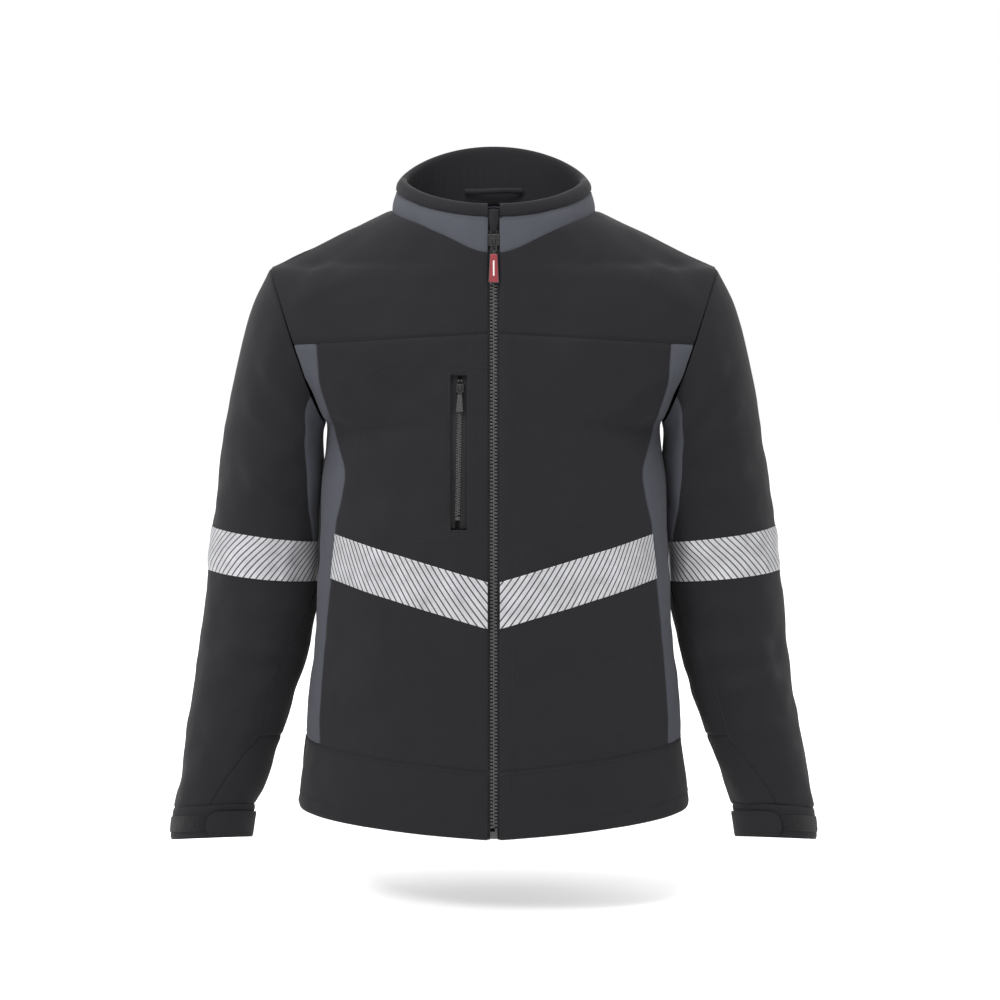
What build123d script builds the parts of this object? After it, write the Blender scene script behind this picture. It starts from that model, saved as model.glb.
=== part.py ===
"""Zip-front softshell work jacket with reflective tape, as its sewn pieces, in millimetres.

The wearer's left is +X, the front faces -Y and +Z is up. The origin is at the middle of the neck,
at the height where the shoulder seams meet the collar. Every cloth panel is a thin solid lofted
through cross-sections of the body or of a sleeve; left and right pieces are mirror images.
"""
from build123d import *
from math import asin, copysign, cos, pi, radians, sin
import os

# ---- cloth ----
SHELL = 3.0            # bonded softshell cloth
SEAM = 0.3             # half of the gap that keeps neighbouring panels apart
TAPE = 0.7             # reflective tape
LINING = 1.4           # lining cloth
BODY_LINING_DEPTH = 11.0    # lining of the body hangs this far behind the outer face
SLEEVE_LINING_DEPTH = 4.5

# ---- body: height, half width, back depth, middle y, exponents of the width and of the depth ----
BODY = [
    (-705, 232, 140, -5, 2.3, 0.435), (-600, 218, 135, -12, 2.25, 0.444), (-500, 208, 130, -22, 2.2, 0.455),
    (-430, 203, 127, -26, 2.2, 0.455), (-370, 199.5, 125, -24, 2.2, 0.455), (-300, 194.5, 122, -12, 2.2, 0.455),
    (-245, 191.5, 120, 0, 2.2, 0.46), (-200, 210, 118, 0, 2.2, 0.80), (-150, 227, 114, 0, 2.2, 1.0),
    (-100, 244, 108, 0, 2.0, 1.0), (-66, 256, 101, 0, 1.8, 0.90), (-30, 181, 91, 0, 1.7, 0.80),
    (0, 117, 80, 0, 1.7, 0.75), (12, 92, 75, 0, 1.7, 0.75),
]
FRONT_DEPTH = 95       # of the zip line at the origin's height
FRONT_LEAN = 0.078     # the zip line comes forward by this much for each unit down
SIDE_SEAM = 86         # degrees from the zip to the seam between the side panel and the back
SEAM_TRIM = 0.004      # radians taken off each edge of a body panel
RIDGE_TRIM = 0.035     # the same where front and back meet on the shoulder

# ---- levels of the seams: height on the zip line and rise towards the sides ----
HEM = (-705, 0.07)
HEM_SEAM = (-630, 0.10)
YOKE_SEAM = (-142, -0.06)
BACK_HEM, BACK_HEM_SEAM, BACK_YOKE_SEAM = -689, -607, -190
CHEST_TAPE = (-472.5, -420.5)
CHEST_TAPE_RISE = 0.285
BACK_TAPE = (-424, -374)
BACK_TAPE_START = 112   # degrees from the zip, clear of where the sleeve hangs

# Front seam of the side panel: height, distance from the middle.
PRINCESS_SEAM = [
    (-705, 206), (-612, 200), (-500, 194), (-420, 185), (-360, 179), (-325, 171), (-295, 169),
    (-255, 183), (-205, 195), (-150, 200), (-120, 201),
]

# ---- armhole: a slanted plane from the shoulder tip down to the underarm ----
SHOULDER_TIP = (256, -66)
UNDERARM = (195, -245)
ARMHOLE_DEPTH = 72     # half of the armhole from front to back
ARMHOLE_GAP = 3.0
NECK_POINT = 117       # where the shoulder ridge reaches the neck, at the origin's height

# ---- sleeve sections: outer edge (x, z), inner edge (x, z), half depth, middle y ----
SLEEVE = [
    ((257.2, -66.4), (196.4, -245.4), 72, 0), ((278, -108), (198.5, -252), 74, 1),
    ((291, -150), (200, -260), 74.5, 3), ((304, -208), (200.8, -274), 73, 6),
    ((314, -265), (201.2, -300), 71, 10), ((322, -318), (201.5, -338), 68, 14),
    ((330, -366), (202, -384), 66, 15), ((335.5, -416), (206, -430), 65, 14),
    ((344, -498), (215, -505), 62, 9), ((351, -550), (230, -553), 60, 0),
    ((359, -610), (248, -610), 57, -11), ((367, -660), (265, -657), 53, -22),
    ((372.5, -692), (277, -688), 50.5, -30), ((375, -728), (283, -725), 49, -38),
]
CUFF_SEAM = 12         # index of the section where the cuff is sewn on
CUFF_END = 13
FOREARM_TILT = 0.22    # the cuff's front rim stands this much higher per unit of depth
# Front edge of the gusset and the pieces below it: section number, degrees from the inner edge.
UNDER_SLEEVE_EDGE = [
    (0, 50), (2, 50), (4, 44), (5, 40), (6, 28), (7, 12), (7.5, 30), (8, 48), (9, 52), (10, 52),
    (10.5, 66), (11, 78), (12, 88),
]

# ---- collar ----
NECK = (117, 99, 76)           # half width, front depth, back depth of the neck seam
RIM = (108, 94, 88)            # the same of the collar's top edge
RIM_HEIGHT = (2, 36, 80)       # of the top edge at the front, the sides and the back
ROLL = 15                      # height of the black roll above the grey band
COLLAR_SECTIONS = 25

# ---- main zip, measured along its line from the hem up, and inwards from the front face ----
ZIP_GAP = 6.8          # half of the opening between the front edges
CHAIN = dict(half=4.1, pitch=3.9, tooth=1.7, mid=4.2, thick=3.4, tape=0.8, tape_width=7)
ZIP_START, ZIP_END = 14, 672
SLIDER = dict(half=6.2, length=13, plate=1.6, slot=1.3, clear=0.3, arch=3.2, bar=1.4)
SLIDER_REST = 662
STORM_FLAP_TOP = 640   # the collar's facing takes over from here
PULL = dict(arm=17, width=7.2, tab=31, tab_top=7.6, tab_foot=10.6, thick=2.8)

# ---- chest pocket on the wearer's right ----
POCKET_WINDOW = (-48, -30, -361, -189)
POCKET_ZIP = ((-40.6, -355), (-37.4, -193))
CHEST_CHAIN = dict(half=2.8, pitch=2.8, tooth=1.25, mid=5.0, thick=2.4, tape=0.8, tape_width=9)
CHEST_SLIDER = dict(half=4.4, length=9.5, plate=1.3, slot=1.2, clear=0.25, arch=2.6, bar=1.2)
CHEST_ZIP_START, CHEST_ZIP_END = 10, 148
CHEST_SLIDER_REST = 147.6
CHEST_PULL = dict(arm=9, width=5.6, tab=18, tab_top=5.0, tab_foot=8.2, thick=2.2)
POCKET_BAG = (-372, -176, 24, 150)    # lowest, highest, nearest to and furthest from the zip
HAND_BAG = (-620, -494, 20, 186)

OUT = "parts"


def curve_value(rows, key):
    """Read the other columns of a table at a key, on a smooth curve through its rows."""
    keys = [row[0] for row in rows]
    key = min(max(key, keys[0]), keys[-1])
    i = max(n for n in range(len(rows) - 1) if keys[n] <= key)
    span = keys[i + 1] - keys[i]
    t = (key - keys[i]) / span

    def slope(n, column):
        low, high = max(n - 1, 0), min(n + 1, len(rows) - 1)
        return (rows[high][column] - rows[low][column]) / (keys[high] - keys[low])

    values = []
    for column in range(1, len(rows[0])):
        start, end = rows[i][column], rows[i + 1][column]
        values.append((2 * t**3 - 3 * t**2 + 1) * start + (t**3 - 2 * t**2 + t) * span * slope(i, column)
                      + (3 * t**2 - 2 * t**3) * end + (t**3 - t**2) * span * slope(i + 1, column))
    return values


def spread(start, end, count):
    """Evenly spaced numbers from start to end."""
    return [start + (end - start) * n / (count - 1) for n in range(count)]


def power(value, exponent):
    """Power that keeps the sign."""
    return copysign(abs(value) ** exponent, value)


def front_depth(z):
    return FRONT_DEPTH - FRONT_LEAN * z


def armhole_x(z):
    """Distance of the armhole plane from the middle."""
    (tip_x, tip_z), (under_x, under_z) = SHOULDER_TIP, UNDERARM
    return under_x + (tip_x - under_x) * (z - under_z) / (tip_z - under_z)


def armhole_half(z, offset):
    """Half of the armhole's width from front to back at a height, zero above and below it."""
    middle, half = (SHOULDER_TIP[1] + UNDERARM[1]) / 2, (SHOULDER_TIP[1] - UNDERARM[1]) / 2 + offset
    return (ARMHOLE_DEPTH + offset) * max(0.0, 1 - ((z - middle) / half) ** 2) ** 0.5


def body_section(z, offset=0.0):
    """Half width, armhole half width, middle, front and back depth and exponents at a height."""
    width, back, middle, across, deep = curve_value(BODY, z)
    width += offset
    if z > UNDERARM[1]:
        ridge_z = z - 1.1 * offset
        ridge = NECK_POINT + (SHOULDER_TIP[0] - NECK_POINT) * ridge_z / SHOULDER_TIP[1]
        width = min(armhole_x(z) - ARMHOLE_GAP, ridge)
    return width, armhole_half(z, offset), middle, front_depth(z) + offset, back + offset, across, deep


def body_point(level, angle, offset=0.0):
    """Point of the body: angle 0 is the zip, pi the middle of the back, below pi the wearer's left."""
    height, rise = level
    z = height
    for _ in range(8):
        width, arm, middle, front, back, across, deep = body_section(z, offset)
        x = width * power(sin(angle), 2 / across)
        z = height + rise * abs(x)
    swell = abs(cos(angle)) ** (2 * deep)
    if cos(angle) > 0:
        return Vector(x, middle - arm - (front + middle - arm) * swell, z)
    return Vector(x, middle + arm + (back - middle - arm) * swell, z)


def angle_at_x(level, x):
    """Angle on the front half at which the body is x from the middle."""
    z = level[0] + level[1] * x
    width, _, _, _, _, across, _ = body_section(z)
    return asin(min(1.0, (x / width) ** (across / 2)))


def zip_edge(level):
    return angle_at_x(level, ZIP_GAP)


def princess_angle(level):
    z = level[0] + level[1] * 190
    return angle_at_x(level, curve_value(PRINCESS_SEAM, z)[0])


def side_angle(level):
    """Rear edge of the side panel: the side seam, which runs into the armhole's edge."""
    z = level[0] + level[1] * 210
    rest = pi / 2 - RIDGE_TRIM
    blend = min(1.0, max(0.0, (z - UNDERARM[1] + 60) / 60))
    return radians(SIDE_SEAM) + (rest - radians(SIDE_SEAM)) * blend


def ridge_angle(level):
    """Front edge of the armhole, and the shoulder seam above it."""
    return pi / 2 - RIDGE_TRIM


def back_angle(level):
    """Left edge of the back: the side seam, the rear edge of the armhole or the shoulder seam."""
    return side_angle(level) if level[0] < UNDERARM[1] else pi / 2 + RIDGE_TRIM


def strip(sections):
    """Thin solid through cross-sections, each given as its outer and its inner row of points."""
    wires = []
    for outer, inner in sections:
        wires.append(Wire([
            Edge.make_spline(outer), Edge.make_line(outer[-1], inner[-1]),
            Edge.make_spline(inner[::-1]), Edge.make_line(inner[0], outer[0]),
        ]))
    return Solid.make_loft(wires, ruled=True)


def body_strip(levels, start, end, top=0.0, thick=SHELL, points=11):
    """Panel of the body between two edges, which are functions of the level."""
    sections = []
    for level in levels:
        first, last = start(level), end(level)
        angles = spread(first + SEAM_TRIM, last - SEAM_TRIM, points)
        sections.append(([body_point(level, a, top) for a in angles],
                         [body_point(level, a, top - thick) for a in angles]))
    return strip(sections)


def levels_between(low, high, count):
    """Levels from one seam to another, their rise changing evenly."""
    heights = spread(low[0] + SEAM, high[0] - SEAM, count)
    return list(zip(heights, spread(low[1], high[1], count)))


def sleeve_point(number, angle, offset=0.0):
    """Point of the left sleeve: angle 0 faces the body, pi/2 the front, pi the outside."""
    rows = [(n, o[0], o[1], i[0], i[1], d, y) for n, (o, i, d, y) in enumerate(SLEEVE)]
    outer_x, outer_z, inner_x, inner_z, half_depth, middle_y = curve_value(rows, number)
    middle = Vector((outer_x + inner_x) / 2, middle_y, (outer_z + inner_z) / 2)
    inward = Vector(inner_x - outer_x, 0, inner_z - outer_z)
    tilt = FOREARM_TILT * min(1.0, max(0.0, (number - 7) / 5))
    forward = Vector(0, -1, tilt).normalized()
    return (middle + inward.normalized() * ((inward.length / 2 + offset) * cos(angle))
            + forward * ((half_depth + offset) * sin(angle)))


def sleeve_strip(numbers, first, last, top=0.0, thick=SHELL, points=13):
    """Panel of the left sleeve between two angles, which are functions of the section number."""
    sections = []
    for number in numbers:
        angles = spread(first(number), last(number), points)
        sections.append(([sleeve_point(number, a, top) for a in angles],
                         [sleeve_point(number, a, top - thick) for a in angles]))
    return strip(sections)


def edge_angle(number):
    """Front edge of the under-sleeve pieces, which the upper sleeve is sewn to."""
    return radians(curve_value(UNDER_SLEEVE_EDGE, number)[0])


def body_depth_at(z, x, front_side):
    """How far the body reaches from the middle plane at a height, x from the middle; 0 outside it."""
    width, arm, middle, front, back, across, deep = body_section(z)
    if x >= width:
        return 0.0
    swell = (1 - (x / width) ** across) ** deep
    return arm + ((front if front_side else back) - arm) * swell


def neck_height(angle):
    """Height at which the body's surface passes the neck seam, seen from above at this angle."""
    x, y = neck_xy(NECK, angle)
    low, high = -80.0, 11.5
    for _ in range(40):
        z = (low + high) / 2
        inside = abs(y) < body_depth_at(z, abs(x), y < 0)
        low, high = (z, high) if inside else (low, z)
    return low


def neck_xy(ring, angle):
    half_width, front, back = ring
    return half_width * sin(angle), -(front if cos(angle) > 0 else back) * cos(angle)


def neck_plug():
    """Upright oval that opens the yokes for the neck."""
    points = [Vector(*neck_xy([size + SEAM for size in NECK], a), -90) for a in spread(0, 2 * pi, 41)[:-1]]
    return extrude(Face(Wire([Edge.make_spline(points, periodic=True)])), amount=140, dir=(0, 0, 1))


def collar_solid(profile):
    """Loft a collar cross-section round the neck, from one front edge to the other."""
    wires = []
    edge = asin(ZIP_GAP / NECK[0])
    for angle in spread(edge, 2 * pi - edge, COLLAR_SECTIONS):
        base = Vector(*neck_xy(NECK, angle), neck_height(angle) + 3 * SEAM)
        front, side, back = RIM_HEIGHT
        end_height = front if cos(angle) > 0 else back
        rim = Vector(*neck_xy(RIM, angle), side + (end_height - side) * abs(cos(angle)) ** 1.3)
        outward = Vector(sin(angle) / NECK[0], -cos(angle) / NECK[1], 0).normalized()
        height = (rim - base).length
        corners = []
        for up, out in profile(height):
            point = base + (rim - base) * (up / height) + outward * out
            if cos(angle) > 0.99:
                point = Vector(copysign(ZIP_GAP, sin(angle)), point.Y, point.Z)
            corners.append(point)
        wires.append(Wire([Edge.make_line(a, b) for a, b in zip(corners, corners[1:] + corners[:1])]))
    return Solid.make_loft(wires, ruled=True)


def band_profile(height):
    """Grey outer band of the collar."""
    top = height - ROLL
    return [(0, 0), (top, 0), (top, -SHELL), (0, -SHELL)]


def roll_profile(height):
    """Black roll along the collar's top edge, and the facing that it continues as inside."""
    foot = height - ROLL + 2 * SEAM
    return [(foot, 0.8), (height - 5, 1.6), (height, -2), (height, -6), (height - 5, -9.5),
            (foot, -9), (0, -7.8), (0, -5.4), (foot, -5.4)]


def zip_plane(foot, head):
    """Frame on a zip line: X stays across, Y goes into the coat and Z runs up the line."""
    return Plane(origin=foot, x_dir=(1, 0, 0), z_dir=head - foot)


def block(frame, x, depth, along):
    """Block between two values each way in a zip's frame."""
    size = [high - low for low, high in (x, depth, along)]
    low = (x[0], depth[0], along[0])
    solid = Solid.make_box(*size).moved(Location(low))
    return solid.moved(frame.location)


def chain_teeth(frame, chain, side, start, end):
    """Teeth of one side, which reach past the middle between the teeth of the other side."""
    solids = []
    reach = chain["half"] / 4
    x = (-reach, chain["half"]) if side > 0 else (-chain["half"], reach)
    depth = (chain["mid"] - chain["thick"] / 2, chain["mid"] + chain["thick"] / 2)
    along = start + (chain["pitch"] / 2 if side > 0 else 0)
    while along + chain["tooth"] < end:
        solids.append(block(frame, x, depth, (along, along + chain["tooth"])))
        along += chain["pitch"]
    return solids


def chain_tape(frame, chain, side, start, end):
    inner = chain["half"] + 0.05
    x = sorted((side * inner, side * (inner + chain["tape_width"])))
    depth = (chain["mid"] - chain["tape"] / 2, chain["mid"] + chain["tape"] / 2)
    return block(frame, x, depth, (start, end))


def slider_body(frame, chain, slider, start):
    """Front and back plates, the flanges that hold the cloth tapes between them, and the arch."""
    half, end = slider["half"], start + slider["length"]
    near = chain["mid"] - chain["thick"] / 2 - slider["clear"]
    far = chain["mid"] + chain["thick"] / 2 + slider["clear"]
    slot = (chain["mid"] - slider["slot"] / 2, chain["mid"] + slider["slot"] / 2)
    wall = chain["half"] + 0.5
    solid = block(frame, (-half, half), (near - slider["plate"], near), (start, end))
    back = block(frame, (-half, half), (far, far + slider["plate"]), (start, end))
    for low, high in ((wall, half), (-half, -wall)):
        solid += block(frame, (low, high), (near, slot[0]), (start, end))
        back += block(frame, (low, high), (slot[1], far), (start, end))
    face = near - slider["plate"]
    rise = slider["arch"]
    outer = block(frame, (-1.3, 1.3), (face - rise - 1.1, face), (start + 2, end - 1))
    inner = block(frame, (-2, 2), (face - rise, face), (start + 3.4, end - 2.4))
    return single(solid + (outer - inner)), single(back)


def pull_axis(chain, slider):
    """Depth and height above the slider's foot of the bar that the pull swings on."""
    face = chain["mid"] - chain["thick"] / 2 - slider["clear"] - slider["plate"]
    return face - slider["arch"] / 2, slider["length"] / 2 + 0.5


def pull_link(frame, chain, slider, pull, start):
    """Wire-like frame that hangs from the arch: a bar, two arms and a plate."""
    depth, up = pull_axis(chain, slider)
    bar = slider["bar"] / 2
    axis = start + up
    half = pull["width"] / 2
    side = (depth - bar, depth + bar)
    solid = block(frame, (-half, half), side, (axis - bar, axis + bar))
    for low, high in ((1.7, half), (-half, -1.7)):
        solid += block(frame, (low, high), side, (axis - pull["arm"], axis))
    return solid + block(frame, (-half, half), side, (axis - pull["arm"], axis - pull["arm"] + 4))


def pull_tab(frame, chain, slider, pull, start):
    """Tapered grip moulded on the end of the link."""
    depth, up = pull_axis(chain, slider)
    top = start + up - pull["arm"]
    outline = Polyline((-pull["tab_top"] / 2, 0), (pull["tab_top"] / 2, 0), (pull["tab_foot"] / 2, -pull["tab"]),
                       (-pull["tab_foot"] / 2, -pull["tab"]), close=True)
    plane = Plane(origin=(0, depth - pull["thick"] / 2, top), x_dir=(1, 0, 0), z_dir=(0, -1, 0))
    solid = extrude(plane * make_face(outline), amount=-pull["thick"])
    return solid.moved(frame.location)


def main_zip_frame():
    return zip_plane(Vector(0, -front_depth(HEM[0]), HEM[0]), Vector(0, -front_depth(0), 0))


def chest_zip_frame():
    foot, head = [Vector(x, body_point((z, 0), angle_at_x((z, 0), -x)).Y, z) for x, z in POCKET_ZIP]
    return zip_plane(foot, head)


def save(name, *solids):
    shape = solids[0] if len(solids) == 1 else Compound(children=[Solid(s.wrapped) for s in solids])
    shape.label = name
    export_step(shape, os.path.join(OUT, f"{name}.step"))


def single(shape):
    """The one solid that a boolean leaves, or its largest piece."""
    return max(shape.solids(), key=lambda s: s.volume)


def both_sides(name, *solids):
    """Save a piece of the wearer's left and its mirror image."""
    save(f"{name}_left", *solids)
    save(f"{name}_right", *[single(s.mirror(Plane.YZ)) for s in solids])


def save_body():
    panel_levels = levels_between(HEM_SEAM, YOKE_SEAM, 31)
    front = body_strip(panel_levels, zip_edge, princess_angle)
    low_x, high_x, low_z, high_z = POCKET_WINDOW
    window = Pos((low_x + high_x) / 2, -110, (low_z + high_z) / 2) * Box(high_x - low_x, 60, high_z - low_z)
    save("front_panel_left", front)
    save("front_panel_right", single(front.mirror(Plane.YZ) - window))
    both_sides("side_panel", body_strip(panel_levels, princess_angle, side_angle, points=7))
    band_levels = levels_between(HEM, HEM_SEAM, 3)
    both_sides("hem_band", body_strip(band_levels, zip_edge, side_angle, points=13))

    mirrored = lambda level: 2 * pi - back_angle(level)
    back_levels = levels_between((BACK_HEM_SEAM, 0), (BACK_YOKE_SEAM, 0), 29)
    save("back_panel", body_strip(back_levels, back_angle, mirrored, points=25))
    save("hem_band_back", body_strip(levels_between((BACK_HEM, 0), (BACK_HEM_SEAM, 0), 3),
                                     back_angle, mirrored, points=25))

    plug = neck_plug()
    shoulder = [(z, 0) for z in (-72, -68, -66, -60, -52, -44, -36, -28, -20, -12, -4)]
    yoke_levels = levels_between(YOKE_SEAM, (-78, 0), 7) + shoulder
    both_sides("front_yoke", single(body_strip(yoke_levels, zip_edge, ridge_angle) - plug))
    back_levels = levels_between((BACK_YOKE_SEAM, 0), (-78, 0), 12) + shoulder + [(4, 0), (10, 0)]
    save("back_yoke", single(body_strip(back_levels, back_angle, mirrored, points=25) - plug))


def save_body_lining():
    """Lower tube, open at the zip, and an upper piece for each front and for the back."""
    edge = lambda level: angle_at_x(level, 24)
    far_edge = lambda level: 2 * pi - edge(level)
    lower = body_strip([(z, 0) for z in spread(-684, -262, 22)], edge, far_edge,
                       -BODY_LINING_DEPTH, LINING, 41)
    rows = [(z, 0) for z in spread(-258, -90, 15)]
    inset = 0.12
    front = body_strip(rows, edge, lambda level: ridge_angle(level) - inset, -BODY_LINING_DEPTH, LINING)
    back = body_strip(rows, lambda level: pi / 2 + inset, lambda level: 3 * pi / 2 - inset,
                      -BODY_LINING_DEPTH, LINING, 25)
    save("body_lining", lower, front, single(front.mirror(Plane.YZ)), back)


def save_body_tape():
    low, high = [(z, CHEST_TAPE_RISE) for z in CHEST_TAPE]
    levels = [low, ((low[0] + high[0]) / 2, CHEST_TAPE_RISE), high]
    both_sides("reflective_tape_chest", body_strip(levels, zip_edge, princess_angle, SEAM + TAPE, TAPE))
    levels = [(z, 0) for z in spread(*BACK_TAPE, 3)]
    start = radians(BACK_TAPE_START)
    save("reflective_tape_back", body_strip(levels, lambda level: start, lambda level: 2 * pi - start,
                                            SEAM + TAPE, TAPE, 25))


def section_numbers(start, end):
    """Section numbers about a quarter apart, which every panel between them shares."""
    steps = [n / 4 for n in range(4 * CUFF_END) if start < n / 4 < end]
    return [start] + steps + [end]


def save_sleeves():
    """The pieces of each sleeve, its lining, its tape and its cuff with the closing tab."""
    trim = 0.007
    front_edge = lambda number: edge_angle(number) - trim
    rear_edge = lambda number: trim - edge_angle(number)
    cuff_start = CUFF_SEAM - 0.01
    upper = sleeve_strip(section_numbers(0, cuff_start), lambda number: edge_angle(number) + trim,
                         lambda number: 2 * pi - edge_angle(number) - trim, points=21)
    both_sides("sleeve_upper", upper)
    both_sides("sleeve_gusset", sleeve_strip(section_numbers(0, 7), rear_edge, front_edge))
    both_sides("sleeve_under", sleeve_strip(section_numbers(7.02, 9.98), rear_edge, front_edge))
    both_sides("forearm_patch", sleeve_strip(section_numbers(10, cuff_start), rear_edge, front_edge))

    ring_start, ring_end = (lambda number: radians(1)), (lambda number: radians(359))
    both_sides("cuff", sleeve_strip([12.01, 12.5, 13], ring_start, ring_end, points=25))
    both_sides("sleeve_tape", sleeve_strip(section_numbers(6, 7), ring_start, ring_end, SEAM + TAPE, TAPE, 25))
    both_sides("sleeve_lining", sleeve_strip(section_numbers(0.3, 12.4), ring_start, ring_end,
                                             -SLEEVE_LINING_DEPTH, LINING, 25))
    constant = lambda degrees: (lambda number: radians(degrees))
    both_sides("cuff_loop_patch", sleeve_strip([12.3, 12.55, 12.78], constant(50), constant(205), 1.2, 1.0))
    both_sides("cuff_hook_patch", sleeve_strip([12.3, 12.55, 12.8], constant(56), constant(84), 2.4, 0.8))
    both_sides("cuff_tab", sleeve_strip([12.22, 12.6, 12.98], constant(4), constant(90), 4.6, 2.1))


def save_collar():
    save("collar_band", collar_solid(band_profile))
    save("collar_roll_and_facing", collar_solid(roll_profile))
    half, bow, width = 34, 7, 7
    facing_y = 66.0
    outer = ThreePointArc((-half, facing_y), (0, facing_y - bow), (half, facing_y))
    strap = make_face(outer + Line((half, facing_y), (half, facing_y - 1.4))
                      + ThreePointArc((half, facing_y - 1.4), (0, facing_y - bow - 1.4), (-half, facing_y - 1.4))
                      + Line((-half, facing_y - 1.4), (-half, facing_y)))
    save("hanger_loop", single(Pos(0, 0, 22) * extrude(strap, amount=width)))


def save_main_zip():
    frame = main_zip_frame()
    for side, word in ((1, "left"), (-1, "right")):
        save(f"zip_tape_{word}", chain_tape(frame, CHAIN, side, 1, ZIP_END + 8))
        save(f"zip_teeth_{word}", *chain_teeth(frame, CHAIN, side, ZIP_START, ZIP_END))
    stops = [block(frame, x, (2.8, 5.6), (ZIP_END + 4, ZIP_END + 7.4)) for x in ((1.2, 3.9), (-3.9, -1.2))]
    save("zip_top_stops", *stops)
    box = block(frame, (-4.05, 4.05), (2.0, 6.4), (2, 10))
    pin_space = block(frame, (1.1, 3.9), (2.8, 5.6), (3, 11))
    save("zip_bottom_box", single(box - pin_space))
    save("zip_insertion_pin", block(frame, (1.2, 3.8), (2.9, 5.5), (3.2, 13.6)))
    save("storm_flap", block(frame, (-20, 22), (8.6, 10.4), (8, STORM_FLAP_TOP)))
    garage = Polyline((-6.4, 20), (6.4, 20), (3.2, 0), (-3.2, 0), close=True)
    plane = Plane(origin=(0, -0.6, SLIDER_REST + SLIDER["length"] + 1.5), x_dir=(1, 0, 0), z_dir=(0, -1, 0))
    flap = single(extrude(plane * make_face(garage), amount=-1.8))
    save("zip_garage", flap.moved(frame.location))
    save("main_slider", *slider_body(frame, CHAIN, SLIDER, SLIDER_REST))
    save("main_pull_link", single(pull_link(frame, CHAIN, SLIDER, PULL, SLIDER_REST)))
    save("main_pull_tab", single(pull_tab(frame, CHAIN, SLIDER, PULL, SLIDER_REST)))


def save_chest_pocket():
    frame = chest_zip_frame()
    chain = CHEST_CHAIN
    tapes = [chain_tape(frame, chain, side, -4, 168) for side in (1, -1)]
    save("chest_zip_tapes", *tapes)
    teeth = [tooth for side in (1, -1)
             for tooth in chain_teeth(frame, chain, side, CHEST_ZIP_START, CHEST_ZIP_END)]
    save("chest_zip_teeth", *teeth)
    foot_stop = block(frame, (-2.6, 2.6), (3.4, 6.6), (5, 9))
    head_stops = [block(frame, x, (3.6, 6.4), (159, 162)) for x in ((0.6, 2.6), (-2.6, -0.6))]
    save("chest_zip_stops", foot_stop, *head_stops)
    save("chest_slider", *slider_body(frame, chain, CHEST_SLIDER, CHEST_SLIDER_REST))
    link = pull_link(frame, chain, CHEST_SLIDER, CHEST_PULL, CHEST_SLIDER_REST)
    tab = pull_tab(frame, chain, CHEST_SLIDER, CHEST_PULL, CHEST_SLIDER_REST)
    save("chest_pull_link", single(link))
    save("chest_pull_tab", single(tab))


def save_pocket_bags():
    """Bags sewn behind the fronts: one behind the chest zip, one behind each hand pocket."""
    def bag(size, depth, thick):
        low, high, near, far = size
        levels = [(z, 0) for z in spread(low, high, 5)]
        return body_strip(levels, lambda level: angle_at_x(level, near), lambda level: angle_at_x(level, far),
                          -depth, thick)

    save("chest_pocket_bag", single(bag(POCKET_BAG, 8.8, 1.2).mirror(Plane.YZ)))
    both_sides("hand_pocket_bag", bag(HAND_BAG, 3.6, 1.6))


def report_joints():
    """Print the points and directions that the joints turn and slide on."""
    for name, frame, chain, slider, start in (
            ("main", main_zip_frame(), CHAIN, SLIDER, SLIDER_REST),
            ("chest", chest_zip_frame(), CHEST_CHAIN, CHEST_SLIDER, CHEST_SLIDER_REST)):
        depth, up = pull_axis(chain, slider)
        print(name, "pull axis at", frame.from_local_coords((0, depth, start + up)), "line", frame.z_dir)
    foot, head = sleeve_point(12.98, radians(4), 3.5), sleeve_point(12.22, radians(4), 3.5)
    print("cuff tab hinge at", (foot + head) * 0.5, "direction", (head - foot).normalized())


os.makedirs(OUT, exist_ok=True)
save_body()
save_body_lining()
save_body_tape()
save_sleeves()
save_collar()
save_main_zip()
save_chest_pocket()
save_pocket_bags()
report_joints()
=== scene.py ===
"""Softshell work jacket: cloth panels, tape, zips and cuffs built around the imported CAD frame."""
from math import asin, copysign, cos, exp, pi, radians, sin, tau

import bmesh
import bpy
from mathutils import Matrix, Vector, noise


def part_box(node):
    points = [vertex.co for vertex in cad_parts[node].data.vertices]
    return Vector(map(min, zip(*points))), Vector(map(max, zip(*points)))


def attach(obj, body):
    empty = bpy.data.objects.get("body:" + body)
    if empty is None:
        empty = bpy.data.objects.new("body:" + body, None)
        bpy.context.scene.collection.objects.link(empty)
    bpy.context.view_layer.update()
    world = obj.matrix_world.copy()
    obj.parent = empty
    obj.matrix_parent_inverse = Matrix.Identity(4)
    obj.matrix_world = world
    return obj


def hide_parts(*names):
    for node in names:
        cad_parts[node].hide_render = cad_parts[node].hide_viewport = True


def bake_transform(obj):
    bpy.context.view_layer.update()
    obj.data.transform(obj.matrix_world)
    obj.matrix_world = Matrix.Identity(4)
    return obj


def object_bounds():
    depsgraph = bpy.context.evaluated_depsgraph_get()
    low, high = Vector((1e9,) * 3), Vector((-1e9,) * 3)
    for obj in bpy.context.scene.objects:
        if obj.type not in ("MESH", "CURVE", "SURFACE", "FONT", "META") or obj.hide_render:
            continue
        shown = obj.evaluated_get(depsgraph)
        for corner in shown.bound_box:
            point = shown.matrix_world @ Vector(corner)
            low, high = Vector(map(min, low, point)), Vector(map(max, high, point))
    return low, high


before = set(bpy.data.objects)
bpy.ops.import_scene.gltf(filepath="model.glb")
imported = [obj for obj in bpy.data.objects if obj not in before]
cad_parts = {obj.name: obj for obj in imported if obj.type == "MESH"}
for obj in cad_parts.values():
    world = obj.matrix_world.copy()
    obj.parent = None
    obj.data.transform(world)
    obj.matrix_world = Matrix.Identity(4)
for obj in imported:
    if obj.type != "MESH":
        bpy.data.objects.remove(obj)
cad_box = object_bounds()
MM = 0.001

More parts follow.
